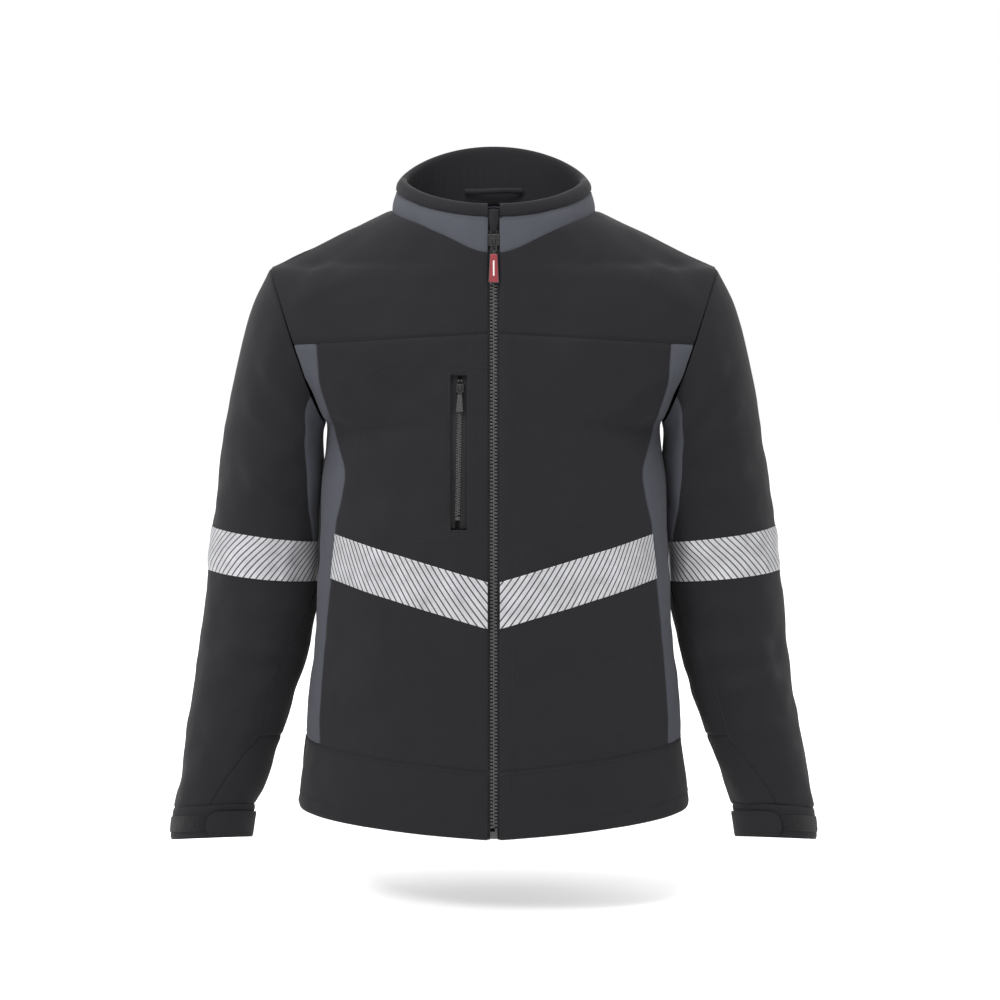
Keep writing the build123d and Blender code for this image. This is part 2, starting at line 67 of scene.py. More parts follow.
# ---- body of the coat: height, half width, back depth, middle y, exponents across and deep ----
BODY = [
    (-705, 232, 140, -5, 2.3, 0.435), (-600, 218, 135, -12, 2.25, 0.444), (-500, 208, 130, -22, 2.2, 0.455),
    (-430, 203, 127, -26, 2.2, 0.455), (-370, 199.5, 125, -24, 2.2, 0.455),
    (-300, 194.5, 122, -12, 2.2, 0.455),
    (-245, 193.5, 120, 0, 2.2, 0.46), (-200, 210, 118, 0, 2.2, 0.80), (-150, 227, 114, 0, 2.2, 1.0),
    (-100, 244, 108, 0, 2.0, 1.0), (-66, 256, 101, 0, 1.8, 0.90), (-30, 181, 91, 0, 1.7, 0.80),
    (0, 117, 80, 0, 1.7, 0.75), (12, 92, 75, 0, 1.7, 0.75),
]
FRONT_DEPTH, FRONT_LEAN = 95, 0.078
SIDE_SEAM = radians(86)
HEM, HEM_SEAM, YOKE_SEAM = (-705, 0.07), (-630, 0.10), (-142, -0.06)
BACK_HEM, BACK_HEM_SEAM, BACK_YOKE_SEAM = (-689, 0), (-607, 0), (-190, 0)
CHEST_TAPE = ((-472.5, 0.285), (-420.5, 0.285))
BACK_TAPE = ((-424, 0), (-374, 0))
BACK_TAPE_START = radians(112)
PRINCESS_SEAM = [
    (-705, 206), (-612, 200), (-500, 194), (-420, 185), (-360, 179), (-325, 171), (-295, 169),
    (-255, 183), (-205, 195), (-150, 200), (-120, 201),
]
SHOULDER_TIP, UNDERARM = (256, -66), (195, -245)
ARMHOLE_DEPTH, ARMHOLE_GAP, NECK_POINT = 72, 0.2, 117
ZIP_GAP = 6.8

# ---- sleeve sections: outer edge, inner edge, half depth, middle y ----
SLEEVE = [
    ((257.2, -66.4), (196.4, -245.4), 72, 0), ((278, -108), (198.5, -252), 74, 1),
    ((291, -150), (200, -260), 74.5, 3), ((304, -208), (200.8, -274), 73, 6),
    ((314, -265), (201.2, -300), 71, 10), ((322, -318), (201.5, -338), 68, 14),
    ((330, -366), (202, -384), 66, 15), ((335.5, -416), (206, -430), 65, 14),
    ((344, -498), (215, -505), 62, 9), ((351, -550), (230, -553), 60, 0),
    ((359, -610), (248, -610), 57, -11), ((367, -660), (265, -657), 53, -22),
    ((372.5, -692), (277, -688), 50.5, -30), ((375, -728), (283, -725), 49, -38),
]
SLEEVE_ROWS = [(n, o[0], o[1], i[0], i[1], d, y) for n, (o, i, d, y) in enumerate(SLEEVE)]
FOREARM_TILT = 0.22
UNDER_SLEEVE_EDGE = [
    (0, 50), (2, 50), (4, 44), (5, 40), (6, 28), (7, 12), (7.5, 30), (8, 48), (9, 52), (10, 52),
    (10.5, 66), (11, 78), (12, 88),
]

# ---- collar ----
NECK, RIM, RIM_HEIGHT, ROLL = (117, 99, 76), (108, 94, 88), (2, 36, 80), 15
SHELL = 2.6

# ---- reflective film: slant of its stripes, and where the ring on the right sleeve is joined, in metres ----
STRIPE_LEAN, FILM_JOINT = 0.75, 0.225
SIDES = (("left", 1), ("right", -1))


# ------------------------------------------------------------------ surfaces
def curve_value(rows, key):
    """Read the other columns of a table at a key, on a smooth curve through its rows."""
    keys = [row[0] for row in rows]
    key = min(max(key, keys[0]), keys[-1])
    i = max(n for n in range(len(rows) - 1) if keys[n] <= key)
    span = keys[i + 1] - keys[i]
    t = (key - keys[i]) / span

    def slope(n, column):
        low, high = max(n - 1, 0), min(n + 1, len(rows) - 1)
        return (rows[high][column] - rows[low][column]) / (keys[high] - keys[low])

    values = []
    for column in range(1, len(rows[0])):
        start, end = rows[i][column], rows[i + 1][column]
        values.append((2 * t**3 - 3 * t**2 + 1) * start + (t**3 - 2 * t**2 + t) * span * slope(i, column)
                      + (3 * t**2 - 2 * t**3) * end + (t**3 - t**2) * span * slope(i + 1, column))
    return values


def power(value, exponent):
    return copysign(abs(value) ** exponent, value)


def front_depth(z):
    return FRONT_DEPTH - FRONT_LEAN * z


def body_section(z):
    """Half width, armhole half width, middle, front and back depth and exponents at a height."""
    width, back, middle, across, deep = curve_value(BODY, z)
    (tip_x, tip_z), (under_x, under_z) = SHOULDER_TIP, UNDERARM
    if z > under_z:
        plane = under_x + (tip_x - under_x) * (z - under_z) / (tip_z - under_z) - ARMHOLE_GAP
        width = min(plane, NECK_POINT + (tip_x - NECK_POINT) * z / tip_z)
    height = (z - (tip_z + under_z) / 2) / ((tip_z - under_z) / 2)
    arm = ARMHOLE_DEPTH * max(0.0, 1 - height**2) ** 0.5
    return width, arm, middle, front_depth(z), back, across, deep


def body_point(level, angle):
    """Point of the body: angle 0 is the zip, pi the middle of the back, below pi the wearer's left."""
    height, rise = level
    z = height
    for _ in range(5 if rise else 1):
        width, arm, middle, front, back, across, deep = body_section(z)
        x = width * power(sin(angle), 2 / across)
        z = height + rise * abs(x)
    swell = abs(cos(angle)) ** (2 * deep)
    if cos(angle) > 0:
        return Vector((x, middle - arm - (front + middle - arm) * swell, z))
    return Vector((x, middle + arm + (back - middle - arm) * swell, z))


def angle_at_x(level, x):
    z = level[0] + level[1] * x
    width, _, _, _, _, across, _ = body_section(z)
    return asin(min(1.0, (x / width) ** (across / 2)))


def zip_edge(level):
    return angle_at_x(level, ZIP_GAP)


def princess_angle(level):
    return angle_at_x(level, curve_value(PRINCESS_SEAM, level[0] + level[1] * 190)[0])


def side_angle(level):
    z = level[0] + level[1] * 210
    blend = min(1.0, max(0.0, (z - UNDERARM[1] + 60) / 60))
    return SIDE_SEAM + (pi / 2 - 0.001 - SIDE_SEAM) * blend


def ridge_angle(level):
    return pi / 2 - 0.001


def back_angle(level):
    return side_angle(level) if level[0] < UNDERARM[1] else pi / 2 + 0.001


def sleeve_point(number, angle):
    """Point of the left sleeve: angle 0 faces the body, pi/2 the front, pi the outside."""
    outer_x, outer_z, inner_x, inner_z, half_depth, middle_y = curve_value(SLEEVE_ROWS, number)
    middle = Vector(((outer_x + inner_x) / 2, middle_y, (outer_z + inner_z) / 2))
    inward = Vector((inner_x - outer_x, 0, inner_z - outer_z))
    tilt = FOREARM_TILT * min(1.0, max(0.0, (number - 7) / 5))
    forward = Vector((0, -1, tilt)).normalized()
    return middle + inward * (cos(angle) / 2) + forward * (half_depth * sin(angle))


def edge_angle(number):
    return radians(curve_value(UNDER_SLEEVE_EDGE, number)[0])


def neck_xy(ring, angle):
    half_width, front, back = ring
    return half_width * sin(angle), -(front if cos(angle) > 0 else back) * cos(angle)


def inside_neck(point):
    depth = NECK[1] if point.y < 0 else NECK[2]
    return (point.x / NECK[0]) ** 2 + (point.y / depth) ** 2 < 1


def neck_height(angle):
    """Height at which the body's surface passes the neck seam."""
    x, y = neck_xy(NECK, angle)
    low, high = -80.0, 11.5
    for _ in range(30):
        z = (low + high) / 2
        width, arm, _, front, back, across, deep = body_section(z)
        reach = 0 if abs(x) >= width else arm + ((front if y < 0 else back) - arm) * (
            1 - (abs(x) / width) ** across) ** deep
        low, high = (z, high) if abs(y) < reach else (low, z)
    return low


# ------------------------------------------------------------------ folds in the cloth, in mm
def ridge(p, start, end, width, height):
    """Soft raised fold along a line."""
    a, b = Vector(start), Vector(end)
    along = b - a
    t = min(1.0, max(0.0, (p - a).dot(along) / along.length_squared))
    gap = (p - a - along * t).length
    return height * exp(-(gap / width) ** 2) * (1 - (2 * t - 1) ** 4 * 0.8)


BODY_FOLDS = [
    # from the armhole across the chest and down from the yoke, on each front
    ((205, -80, -190), (120, -105, -230), 17, 3.2), ((195, -85, -225), (130, -110, -300), 15, 2.2),
    ((230, -60, -110), (150, -75, -75), 14, 2.2), ((150, -60, -30), (215, -50, -95), 12, 1.8),
    # drag above the hem band and at the waist
    ((185, -90, -520), (120, -125, -560), 20, 2.4), ((190, -80, -575), (95, -140, -600), 16, 2.2),
    ((60, -145, -520), (40, -150, -610), 22, 1.6), ((130, -120, -330), (150, -110, -470), 24, 1.8),
    # back
    ((195, 70, -230), (90, 115, -290), 20, 3.4), ((195, 80, -330), (110, 120, -420), 24, 2.6),
    ((180, 90, -480), (60, 128, -540), 22, 3.0), ((190, 85, -560), (80, 130, -590), 16, 2.6),
]
SLEEVE_FOLDS = [
    # from the underarm up across the front of the upper sleeve
    ((212, -52, -262), (262, -70, -170), 10, 3.6), ((208, -58, -300), (285, -62, -215), 11, 3.2),
    ((214, -55, -345), (300, -60, -285), 12, 2.6), ((235, -66, -235), (250, -70, -120), 12, 2.0),
    # elbow
    ((222, -50, -470), (318, -48, -440), 11, 3.0), ((225, -52, -515), (330, -50, -500), 10, 3.4),
    ((240, -60, -560), (338, -50, -530), 9, 2.8), ((250, -66, -600), (342, -60, -590), 10, 2.4),
    ((285, -78, -640), (345, -68, -625), 9, 1.8),
    # back of the sleeve
    ((215, 75, -300), (300, 78, -230), 14, 3.6), ((225, 78, -420), (325, 70, -400), 13, 3.0),
    ((230, 70, -500), (335, 62, -480), 11, 3.8), ((245, 60, -560), (340, 50, -545), 11, 3.2),
]
SIDE_FOLDS = {
    "left": [((300, -62, -345), (330, -30, -430), 9, 2.6), ((262, -62, -380), (280, -60, -470), 9, 2.2)],
    "right": [((300, -60, -330), (322, -40, -450), 8, 3.0), ((255, -64, -370), (262, -60, -460), 8, 2.8)],
}


def wander(p, scale, height, seed):
    return height * noise.noise(Vector((p.x + seed * 37, p.y, p.z)) / scale)


def body_fold(p, side=1):
    q = Vector((abs(p.x), p.y, p.z))
    total = 1.5 * sum(ridge(q, *fold) for fold in BODY_FOLDS)
    fade = min(1.0, abs(p.x) / 60)
    touch = 4.5 * exp(-((p.z + 318) / 50) ** 2) * min(1.0, max(0.0, (abs(p.x) - 150) / 40))
    return total * fade + touch + (wander(p, 70, 2.8, 1) + wander(p, 28, 1.3, 2)) * (0.25 + 0.75 * fade)


def sleeve_fold(p, side):
    word = "left" if side > 0 else "right"
    total = 1.5 * sum(ridge(p, *fold) for fold in SLEEVE_FOLDS + SIDE_FOLDS[word])
    touch = 5.5 * exp(-((p.z + 312) / 55) ** 2) * min(1.0, max(0.0, (236 - p.x) / 24))
    away = min(1.0, max(0.15, (p - Vector((226, 0, -155))).length / 110 - 0.6))
    return total + touch + (wander(p, 60, 3.6, 3 + side) + wander(p, 24, 1.8, 5 + side)) * away


# ------------------------------------------------------------------ mesh tools
def crowded(length, step, ends=(0.8, 2.0, 3.6, 6.0, 10.0)):
    """Fractions along a length, close together near both ends for the turned seam edges."""
    near = [e for e in ends if e < length / 3]
    count = max(2, round((length - 2 * near[-1]) / step)) if near else max(2, round(length / step))
    low, high = (near[-1], length - near[-1]) if near else (0, length)
    middle = [low + (high - low) * n / count for n in range(count + 1)]
    values = ([0.0] + near[:-1] if near else []) + middle + (
        [length - e for e in reversed(near[:-1])] + [length] if near else [])
    return [v / length for v in values]


def make_object(name, mesh):
    """New object; a piece that stands for a CAD node takes its name and an ending."""
    obj = bpy.data.objects.new(f"{name}_made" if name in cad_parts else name, mesh)
    bpy.context.collection.objects.link(obj)
    for polygon in mesh.polygons:
        polygon.use_smooth = True
    return obj


def mirrored(v, sign):
    """A point in metres, on the wearer's left for sign 1 and on the right for -1."""
    return Vector((sign * v.x, v.y, v.z)) * MM


def to_object(bm, name):
    """Turn a bmesh into a smooth object with its faces outwards."""
    bmesh.ops.recalc_face_normals(bm, faces=bm.faces)
    mesh = bpy.data.meshes.new(name)
    bm.to_mesh(mesh)
    bm.free()
    return make_object(name, mesh)


def skin(bm, rings):
    """Faces between closed rings of points, and over both ends."""
    for one, two in zip(rings, rings[1:]):
        for k in range(len(one)):
            bm.faces.new((one[k], one[(k + 1) % len(one)], two[(k + 1) % len(one)], two[k]))
    bm.faces.new(list(reversed(rings[0])))
    bm.faces.new(rings[-1])


def finish_piece(obj, material, body, nodes=()):
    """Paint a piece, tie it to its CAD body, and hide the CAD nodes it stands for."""
    obj.data.materials.clear()
    obj.data.materials.append(material)
    if body:
        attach(obj, body)
    if nodes:
        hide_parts(*nodes)
    return obj


def cloth(name, point, lengths, fold=None, thick=SHELL, lift=0.0, seam=1.3, step=6.0, mirror=False,
          edges="lrbt", closed=False):
    """Cloth panel over point(s, t) with turned-in seam edges, its thickness and any folds."""
    columns, rows = crowded(lengths[0], step), crowded(lengths[1], step)
    grid = [[point(s, t) for s in columns] for t in rows]
    height, width = len(rows), len(columns)
    outer, inner, uvs = [], [], []
    for r in range(height):
        for c in range(width):
            p = grid[r][c]
            du = grid[r][min(c + 1, width - 1)] - grid[r][max(c - 1, 0)]
            dv = grid[min(r + 1, height - 1)][c] - grid[max(r - 1, 0)][c]
            normal = du.cross(dv)
            normal = normal.normalized() if normal.length > 1e-9 else Vector((0, -1, 0))
            gaps = {"l": columns[c] * lengths[0], "r": (1 - columns[c]) * lengths[0],
                    "b": rows[r] * lengths[1], "t": (1 - rows[r]) * lengths[1]}
            tuck = sum(seam * exp(-(gaps[e] / 2.2) ** 2) for e in edges)
            rise = lift - tuck + (fold(p) if fold else 0.0)
            outer.append(p + normal * rise)
            inner.append(p + normal * (rise - thick + tuck * 0.6))
            uvs.append((columns[c] * lengths[0] * MM, rows[r] * lengths[1] * MM))
    sign = -1 if mirror else 1
    verts = [Vector((sign * v.x, v.y, v.z)) * MM for v in outer + inner]
    back = height * width
    faces = []
    at = lambda r, c: r * width + c
    for r in range(height - 1):
        for c in range(width - 1):
            quad = (at(r, c), at(r, c + 1), at(r + 1, c + 1), at(r + 1, c))
            faces.append(quad)
            faces.append(tuple(back + v for v in reversed(quad)))
    for c in range(width - 1):
        faces.append((at(0, c + 1), at(0, c), back + at(0, c), back + at(0, c + 1)))
        top = height - 1
        faces.append((at(top, c), at(top, c + 1), back + at(top, c + 1), back + at(top, c)))
    for r in range(height - 1):
        faces.append((at(r, 0), at(r + 1, 0), back + at(r + 1, 0), back + at(r, 0)))
        last = width - 1
        faces.append((at(r + 1, last), at(r, last), back + at(r, last), back + at(r + 1, last)))
    if mirror:
        faces = [tuple(reversed(f)) for f in faces]
    mesh = bpy.data.meshes.new(name)
    mesh.from_pydata(verts, [], faces)
    layer = mesh.uv_layers.new(name="flat")
    for loop in mesh.loops:
        layer.data[loop.index].uv = uvs[loop.vertex_index % back]
    mesh.update()
    obj = make_object(name, mesh)
    declare_cut(grid)
    return obj


def declare_cut(grid):
    """Measure a panel's width and height along its grid lines; nothing further is done with them."""
    length = lambda line: sum((b - a).length for a, b in zip(line, line[1:])) * MM
    width = max(length(row) for row in grid)
    height = max(length(column) for column in zip(*grid))
    for one, two in zip(grid, grid[1:]):
        for a, b, c, d in zip(one, one[1:], two[1:], two):
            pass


def body_patch(low, high, start, end):
    """point(s, t) of a body panel between two levels and two edges, and its rough size."""
    def point(s, t):
        level = (low[0] + (high[0] - low[0]) * t, low[1] + (high[1] - low[1]) * t)
        first, last = start(level), end(level)
        return body_point(level, first + (last - first) * s)

    across = sum((point((n + 1) / 12, 0.4) - point(n / 12, 0.4)).length for n in range(12))
    up = sum((point(0.5, (n + 1) / 12) - point(0.5, n / 12)).length for n in range(12))
    return point, (across, up)


def yoke_patch(low, start, end):
    """point(s, t) of a yoke, whose top edge follows the neck seam and the shoulder."""
    tops = {}

    def top(s):
        if s not in tops:
            floor, ceiling = low[0] + 5, 11.0
            for _ in range(26):
                z = (floor + ceiling) / 2
                level = (z, 0)
                first, last = start(level), end(level)
                p = body_point(level, first + (last - first) * s)
                floor, ceiling = (floor, z) if inside_neck(p) else (z, ceiling)
            tops[s] = floor
        return tops[s]

    def point(s, t):
        t = t ** 0.9
        z = low[0] + (top(s) - low[0]) * t
        level = (z, low[1] * (1 - t))
        first, last = start(level), end(level)
        return body_point(level, first + (last - first) * s)

    across = sum((point((n + 1) / 12, 0.1) - point(n / 12, 0.1)).length for n in range(12))
    up = sum((point(0.5, (n + 1) / 12) - point(0.5, n / 12)).length for n in range(12))
    return point, (across, up)


def sleeve_patch(low, high, start, end):
    """point(s, t) of a sleeve panel: s runs round the arm, t from the first section to the last."""
    def point(s, t):
        number = low + (high - low) * t
        first, last = start(number), end(number)
        return sleeve_point(number, first + (last - first) * s)

    across = sum((point((n + 1) / 16, 0.5) - point(n / 16, 0.5)).length for n in range(16))
    up = sum((point(0.5, (n + 1) / 16) - point(0.5, n / 16)).length for n in range(16))
    return point, (across, up)


def stitches(name, path, normals, length=2.6, gap=1.0, radius=0.22, mirror=False):
    """Row of thread stitches lying along a path."""
    bm = bmesh.new()
    sign = -1 if mirror else 1
    travelled, target = 0.0, 0.0
    for a, b, n in zip(path, path[1:], normals):
        span = (b - a).length
        while target < travelled + span and span > 1e-6:
            t = (target - travelled) / span
            centre = a.lerp(b, t) + n * 0.1
            direction = (b - a).normalized()
            side = direction.cross(n).normalized()
            ring = []
            for along, grow in ((-length / 2, 0.35), (-length / 3, 1), (length / 3, 1), (length / 2, 0.35)):
                sink = -0.25 if grow < 1 else 0
                hub = centre + direction * along + n * sink
                ring.append([bm.verts.new(mirrored(
                    hub + (side * cos(k * tau / 5) + n * sin(k * tau / 5)) * radius * grow, sign))
                    for k in range(5)])
            skin(bm, ring)
            target += length + gap
        travelled += span
    return to_object(bm, name)


def seam_line(point, s_of, t_of, count, fold, lift=0.15):
    """Points and normals along a line on a panel, lifted with its folds."""
    path, normals = [], []
    for n in range(count + 1):
        s, t = s_of(n / count), t_of(n / count)
        p = point(s, t)
        e = 0.004
        du = point(min(1, s + e), t) - point(max(0, s - e), t)
        dv = point(s, min(1, t + e)) - point(s, max(0, t - e))
        normal = du.cross(dv).normalized()
        path.append(p + normal * (lift + (fold(p) if fold else 0)))
        normals.append(normal)
    return path, normals


def rounded_box(bm, low, high, bevel=0.3, segments=2, taper=1.0):
    """Box with rounded edges; taper widens its lower end along Z."""
    made = bmesh.ops.create_cube(bm, size=1.0)["verts"]
    for v in made:
        grow = taper if v.co.z < 0 else 1.0
        v.co = Vector([low[k] + (high[k] - low[k]) * (v.co[k] + 0.5) for k in range(3)])
        v.co.x = (low[0] + high[0]) / 2 + (v.co.x - (low[0] + high[0]) / 2) * grow
    edges = list({e for v in made for e in v.link_edges})
    bmesh.ops.bevel(bm, geom=edges, offset=bevel, segments=segments, affect="EDGES", profile=0.6)


def zip_matrix(foot, head):
    """Placing of a zip: X across, Y into the coat, Z up the line."""
    z = (head - foot).normalized()
    y = z.cross(Vector((1, 0, 0))).normalized()
    x = y.cross(z)
    return Matrix.Translation(foot) @ Matrix((x, y, z)).transposed().to_4x4()


def place(bm, name, matrix):
    """Turn a bmesh drawn in a zip's own axes, in mm, into an object in its place."""
    bm.transform(Matrix.Scale(MM, 4) @ matrix)
    return to_object(bm, name)


# ------------------------------------------------------------------ materials
def shader(name, color, roughness, **sockets):
    material = bpy.data.materials.new(name)
    material.use_nodes = True
    bsdf = material.node_tree.nodes["Principled BSDF"]
    bsdf.inputs["Base Color"].default_value = (*color, 1)
    bsdf.inputs["Roughness"].default_value = roughness
    for key, value in sockets.items():
        bsdf.inputs[key.replace("_", " ")].default_value = value
    return material, material.node_tree, bsdf


def node(tree, kind, **settings):
    made = tree.nodes.new(kind)
    for key, value in settings.items():
        if key in made.inputs:
            made.inputs[key].default_value = value
        else:
            setattr(made, key, value)
    return made


def mix_colors(tree, factor, one, two):
    mix = tree.nodes.new("ShaderNodeMix")
    mix.data_type = "RGBA"
    tree.links.new(factor, mix.inputs[0])
    for socket, value in ((mix.inputs[6], one), (mix.inputs[7], two)):
        if isinstance(value, bpy.types.NodeSocket):
            tree.links.new(value, socket)
        else:
            socket.default_value = (*value, 1)
    return mix.outputs[2]


def fabric(name, dark, light, roughness=0.85, weave=1700.0, bump=0.25, sheen=0.05, mottle=18.0):
    """Close-knit cloth: fine ribs both ways, soft mottling and a slight sheen."""
    material, tree, bsdf = shader(name, light, roughness)
    bsdf.inputs["Sheen Weight"].default_value = sheen
    bsdf.inputs["Sheen Roughness"].default_value = 0.55
    bsdf.inputs["Specular IOR Level"].default_value = 0.12
    place_at = tree.nodes.new("ShaderNodeTexCoord")
    patches = node(tree, "ShaderNodeTexNoise", Scale=mottle, Detail=5.0, Roughness=0.6)
    fibres = node(tree, "ShaderNodeTexNoise", Scale=900.0, Detail=2.0)
    tree.links.new(place_at.outputs["Object"], patches.inputs["Vector"])
    tree.links.new(place_at.outputs["Object"], fibres.inputs["Vector"])
    base = mix_colors(tree, patches.outputs["Fac"], dark, light)
    final = mix_colors(tree, fibres.outputs["Fac"], tuple(c * 0.8 for c in dark), base)
    tree.links.new(final, bsdf.inputs["Base Color"])
    ribs = []
    for direction in ("X", "Y"):
        wave = node(tree, "ShaderNodeTexWave", Scale=weave / 6.0, Distortion=0.6)
        wave.bands_direction = direction
        tree.links.new(place_at.outputs["UV"], wave.inputs["Vector"])
        ribs.append(wave.outputs["Fac"])
    both = node(tree, "ShaderNodeMath", operation="MULTIPLY")
    tree.links.new(ribs[0], both.inputs[0])
    tree.links.new(ribs[1], both.inputs[1])
    pile = node(tree, "ShaderNodeMath", operation="ADD")
    tree.links.new(both.outputs[0], pile.inputs[0])
    tree.links.new(fibres.outputs["Fac"], pile.inputs[1])
    fine = node(tree, "ShaderNodeBump", Strength=bump, Distance=0.0003)
    tree.links.new(pile.outputs[0], fine.inputs["Height"])
    crumple = node(tree, "ShaderNodeTexNoise", Scale=60.0, Detail=3.0)
    tree.links.new(place_at.outputs["Object"], crumple.inputs["Vector"])
    soft = node(tree, "ShaderNodeBump", Strength=0.12, Distance=0.004)
    tree.links.new(crumple.outputs["Fac"], soft.inputs["Height"])
    tree.links.new(fine.outputs["Normal"], soft.inputs["Normal"])
    tree.links.new(soft.outputs["Normal"], bsdf.inputs["Normal"])
    return material


def reflective(name, lean, pitch=0.0073, line=0.25, flip_after=None):
    """Silver glass-bead film cut into slanted segments, with the cloth showing between them."""
    material, tree, bsdf = shader(name, (0.62, 0.62, 0.64), 0.38)
    bsdf.inputs["Specular IOR Level"].default_value = 0.6
    uv = tree.nodes.new("ShaderNodeUVMap")
    split = tree.nodes.new("ShaderNodeSeparateXYZ")
    tree.links.new(uv.outputs["UV"], split.inputs[0])
    across = node(tree, "ShaderNodeMath", operation="MULTIPLY")
    across.inputs[1].default_value = lean
    tree.links.new(split.outputs["Y"], across.inputs[0])
    if flip_after is not None:
        # The film's joint: the slant turns the other way past it.
        past = node(tree, "ShaderNodeMath", operation="GREATER_THAN")
        past.inputs[1].default_value = flip_after
        tree.links.new(split.outputs["X"], past.inputs[0])
        turn = node(tree, "ShaderNodeMath", operation="MULTIPLY_ADD")
        turn.inputs[1].default_value = -2.0
        turn.inputs[2].default_value = 1.0
        tree.links.new(past.outputs[0], turn.inputs[0])
        turned = node(tree, "ShaderNodeMath", operation="MULTIPLY")
        tree.links.new(across.outputs[0], turned.inputs[0])
        tree.links.new(turn.outputs[0], turned.inputs[1])
        across = turned
    total = node(tree, "ShaderNodeMath", operation="ADD")
    tree.links.new(split.outputs["X"], total.inputs[0])
    tree.links.new(across.outputs[0], total.inputs[1])
    scaled = node(tree, "ShaderNodeMath", operation="DIVIDE")
    scaled.inputs[1].default_value = pitch
    tree.links.new(total.outputs[0], scaled.inputs[0])
    part = node(tree, "ShaderNodeMath", operation="FRACT")
    tree.links.new(scaled.outputs[0], part.inputs[0])
    gap = node(tree, "ShaderNodeMath", operation="LESS_THAN")
    gap.inputs[1].default_value = line
    tree.links.new(part.outputs[0], gap.inputs[0])
    place_at = tree.nodes.new("ShaderNodeTexCoord")
    beads = node(tree, "ShaderNodeTexNoise", Scale=2600.0, Detail=1.0)
    wear = node(tree, "ShaderNodeTexNoise", Scale=34.0, Detail=4.0, Roughness=0.7)
    tree.links.new(place_at.outputs["Object"], beads.inputs["Vector"])
    tree.links.new(place_at.outputs["Object"], wear.inputs["Vector"])
    silver = mix_colors(tree, wear.outputs["Fac"], (0.16, 0.16, 0.17), (0.50, 0.50, 0.52))
    tree.links.new(mix_colors(tree, gap.outputs[0], silver, (0.006, 0.006, 0.007)), bsdf.inputs["Base Color"])
    metal = node(tree, "ShaderNodeMapRange")
    metal.inputs["To Min"].default_value = 0.2
    metal.inputs["To Max"].default_value = 0.0
    tree.links.new(gap.outputs[0], metal.inputs["Value"])
    tree.links.new(metal.outputs[0], bsdf.inputs["Metallic"])
    step = node(tree, "ShaderNodeMath", operation="SUBTRACT")
    tree.links.new(beads.outputs["Fac"], step.inputs[0])
    tree.links.new(gap.outputs[0], step.inputs[1])
    bump = node(tree, "ShaderNodeBump", Strength=0.35, Distance=0.0002)
    tree.links.new(step.outputs[0], bump.inputs["Height"])
    tree.links.new(bump.outputs["Normal"], bsdf.inputs["Normal"])
    return material


def plastic(name, color, roughness=0.4, grain=500.0, bump=0.08, metallic=0.0, coat=0.0):
    material, tree, bsdf = shader(name, color, roughness, Metallic=metallic, Coat_Weight=coat)
    place_at = tree.nodes.new("ShaderNodeTexCoord")
    speckle = node(tree, "ShaderNodeTexNoise", Scale=grain, Detail=3.0)
    tree.links.new(place_at.outputs["Object"], speckle.inputs["Vector"])
    tree.links.new(mix_colors(tree, speckle.outputs["Fac"], tuple(c * 0.7 for c in color),
                              tuple(min(1, c * 1.35) for c in color)), bsdf.inputs["Base Color"])
    rough = node(tree, "ShaderNodeMapRange")
    rough.inputs["To Min"].default_value = roughness * 0.8
    rough.inputs["To Max"].default_value = min(1, roughness * 1.25)
    tree.links.new(speckle.outputs["Fac"], rough.inputs["Value"])
    tree.links.new(rough.outputs[0], bsdf.inputs["Roughness"])
    grainy = node(tree, "ShaderNodeBump", Strength=bump, Distance=0.0003)
    tree.links.new(speckle.outputs["Fac"], grainy.inputs["Height"])
    tree.links.new(grainy.outputs["Normal"], bsdf.inputs["Normal"])
    return material


BLACK = fabric("softshell_black", (0.008, 0.0076, 0.0092), (0.0145, 0.0138, 0.0162))
GREY = fabric("softshell_grey", (0.045, 0.047, 0.058), (0.066, 0.069, 0.083))
INSIDE = fabric("lining_black", (0.008, 0.0076, 0.0085), (0.016, 0.0152, 0.017), roughness=0.6)
THREAD = fabric("thread_black", (0.012, 0.012, 0.013), (0.034, 0.033, 0.036), roughness=0.55, bump=0.1)
THREAD_GREY = fabric("thread_grey", (0.05, 0.053, 0.062), (0.09, 0.095, 0.11), roughness=0.55, bump=0.1)
TAPE_WEAVE = fabric("zip_tape_weave", (0.012, 0.012, 0.013), (0.024, 0.024, 0.026), weave=4200.0, bump=0.5)
PILE = fabric("loop_pile", (0.004, 0.004, 0.005), (0.013, 0.012, 0.014), roughness=1.0, bump=1.0, sheen=0.12,
              mottle=240.0)
TEETH = plastic("moulded_black", (0.022, 0.022, 0.023), 0.34)
LACQUER = plastic("slider_black", (0.014, 0.014, 0.015), 0.26, metallic=0.55, coat=0.3)
RED = plastic("pull_red", (0.15, 0.008, 0.014), 0.45, grain=900.0)
WHITE = plastic("pull_stripe", (0.50, 0.47, 0.46), 0.5)


# ------------------------------------------------------------------ the coat's body
def panel_with_stitches(name, patch, material, node_name, slot, body="coat", mirror=False, fold=body_fold,
                        lines=(), thread=THREAD, **settings):
    """Cloth panel and its topstitching; each line is an edge letter and a distance in mm."""
    point, size = patch
    bend = (lambda p: fold(p, -1 if mirror else 1)) if fold else None
    obj = cloth(name, point, size, bend, mirror=mirror, **settings)
    finish_piece(obj, material, body, [node_name])
    for n, (edge, distance) in enumerate(lines):
        along = size[1] if edge in "lr" else size[0]
        part = distance / (size[0] if edge in "lr" else size[1])
        fixed = (lambda u, v=part: v) if edge in "lb" else (lambda u, v=1 - part: v)
        free = lambda u: 0.004 + 0.992 * u
        s_of, t_of = (fixed, free) if edge in "lr" else (free, fixed)
        path, normals = seam_line(point, s_of, t_of, max(4, int(along / 9)), bend)
        thread_obj = stitches(f"{name}_stitch_{n}", path, normals, mirror=mirror)
        finish_piece(thread_obj, thread, body, ())


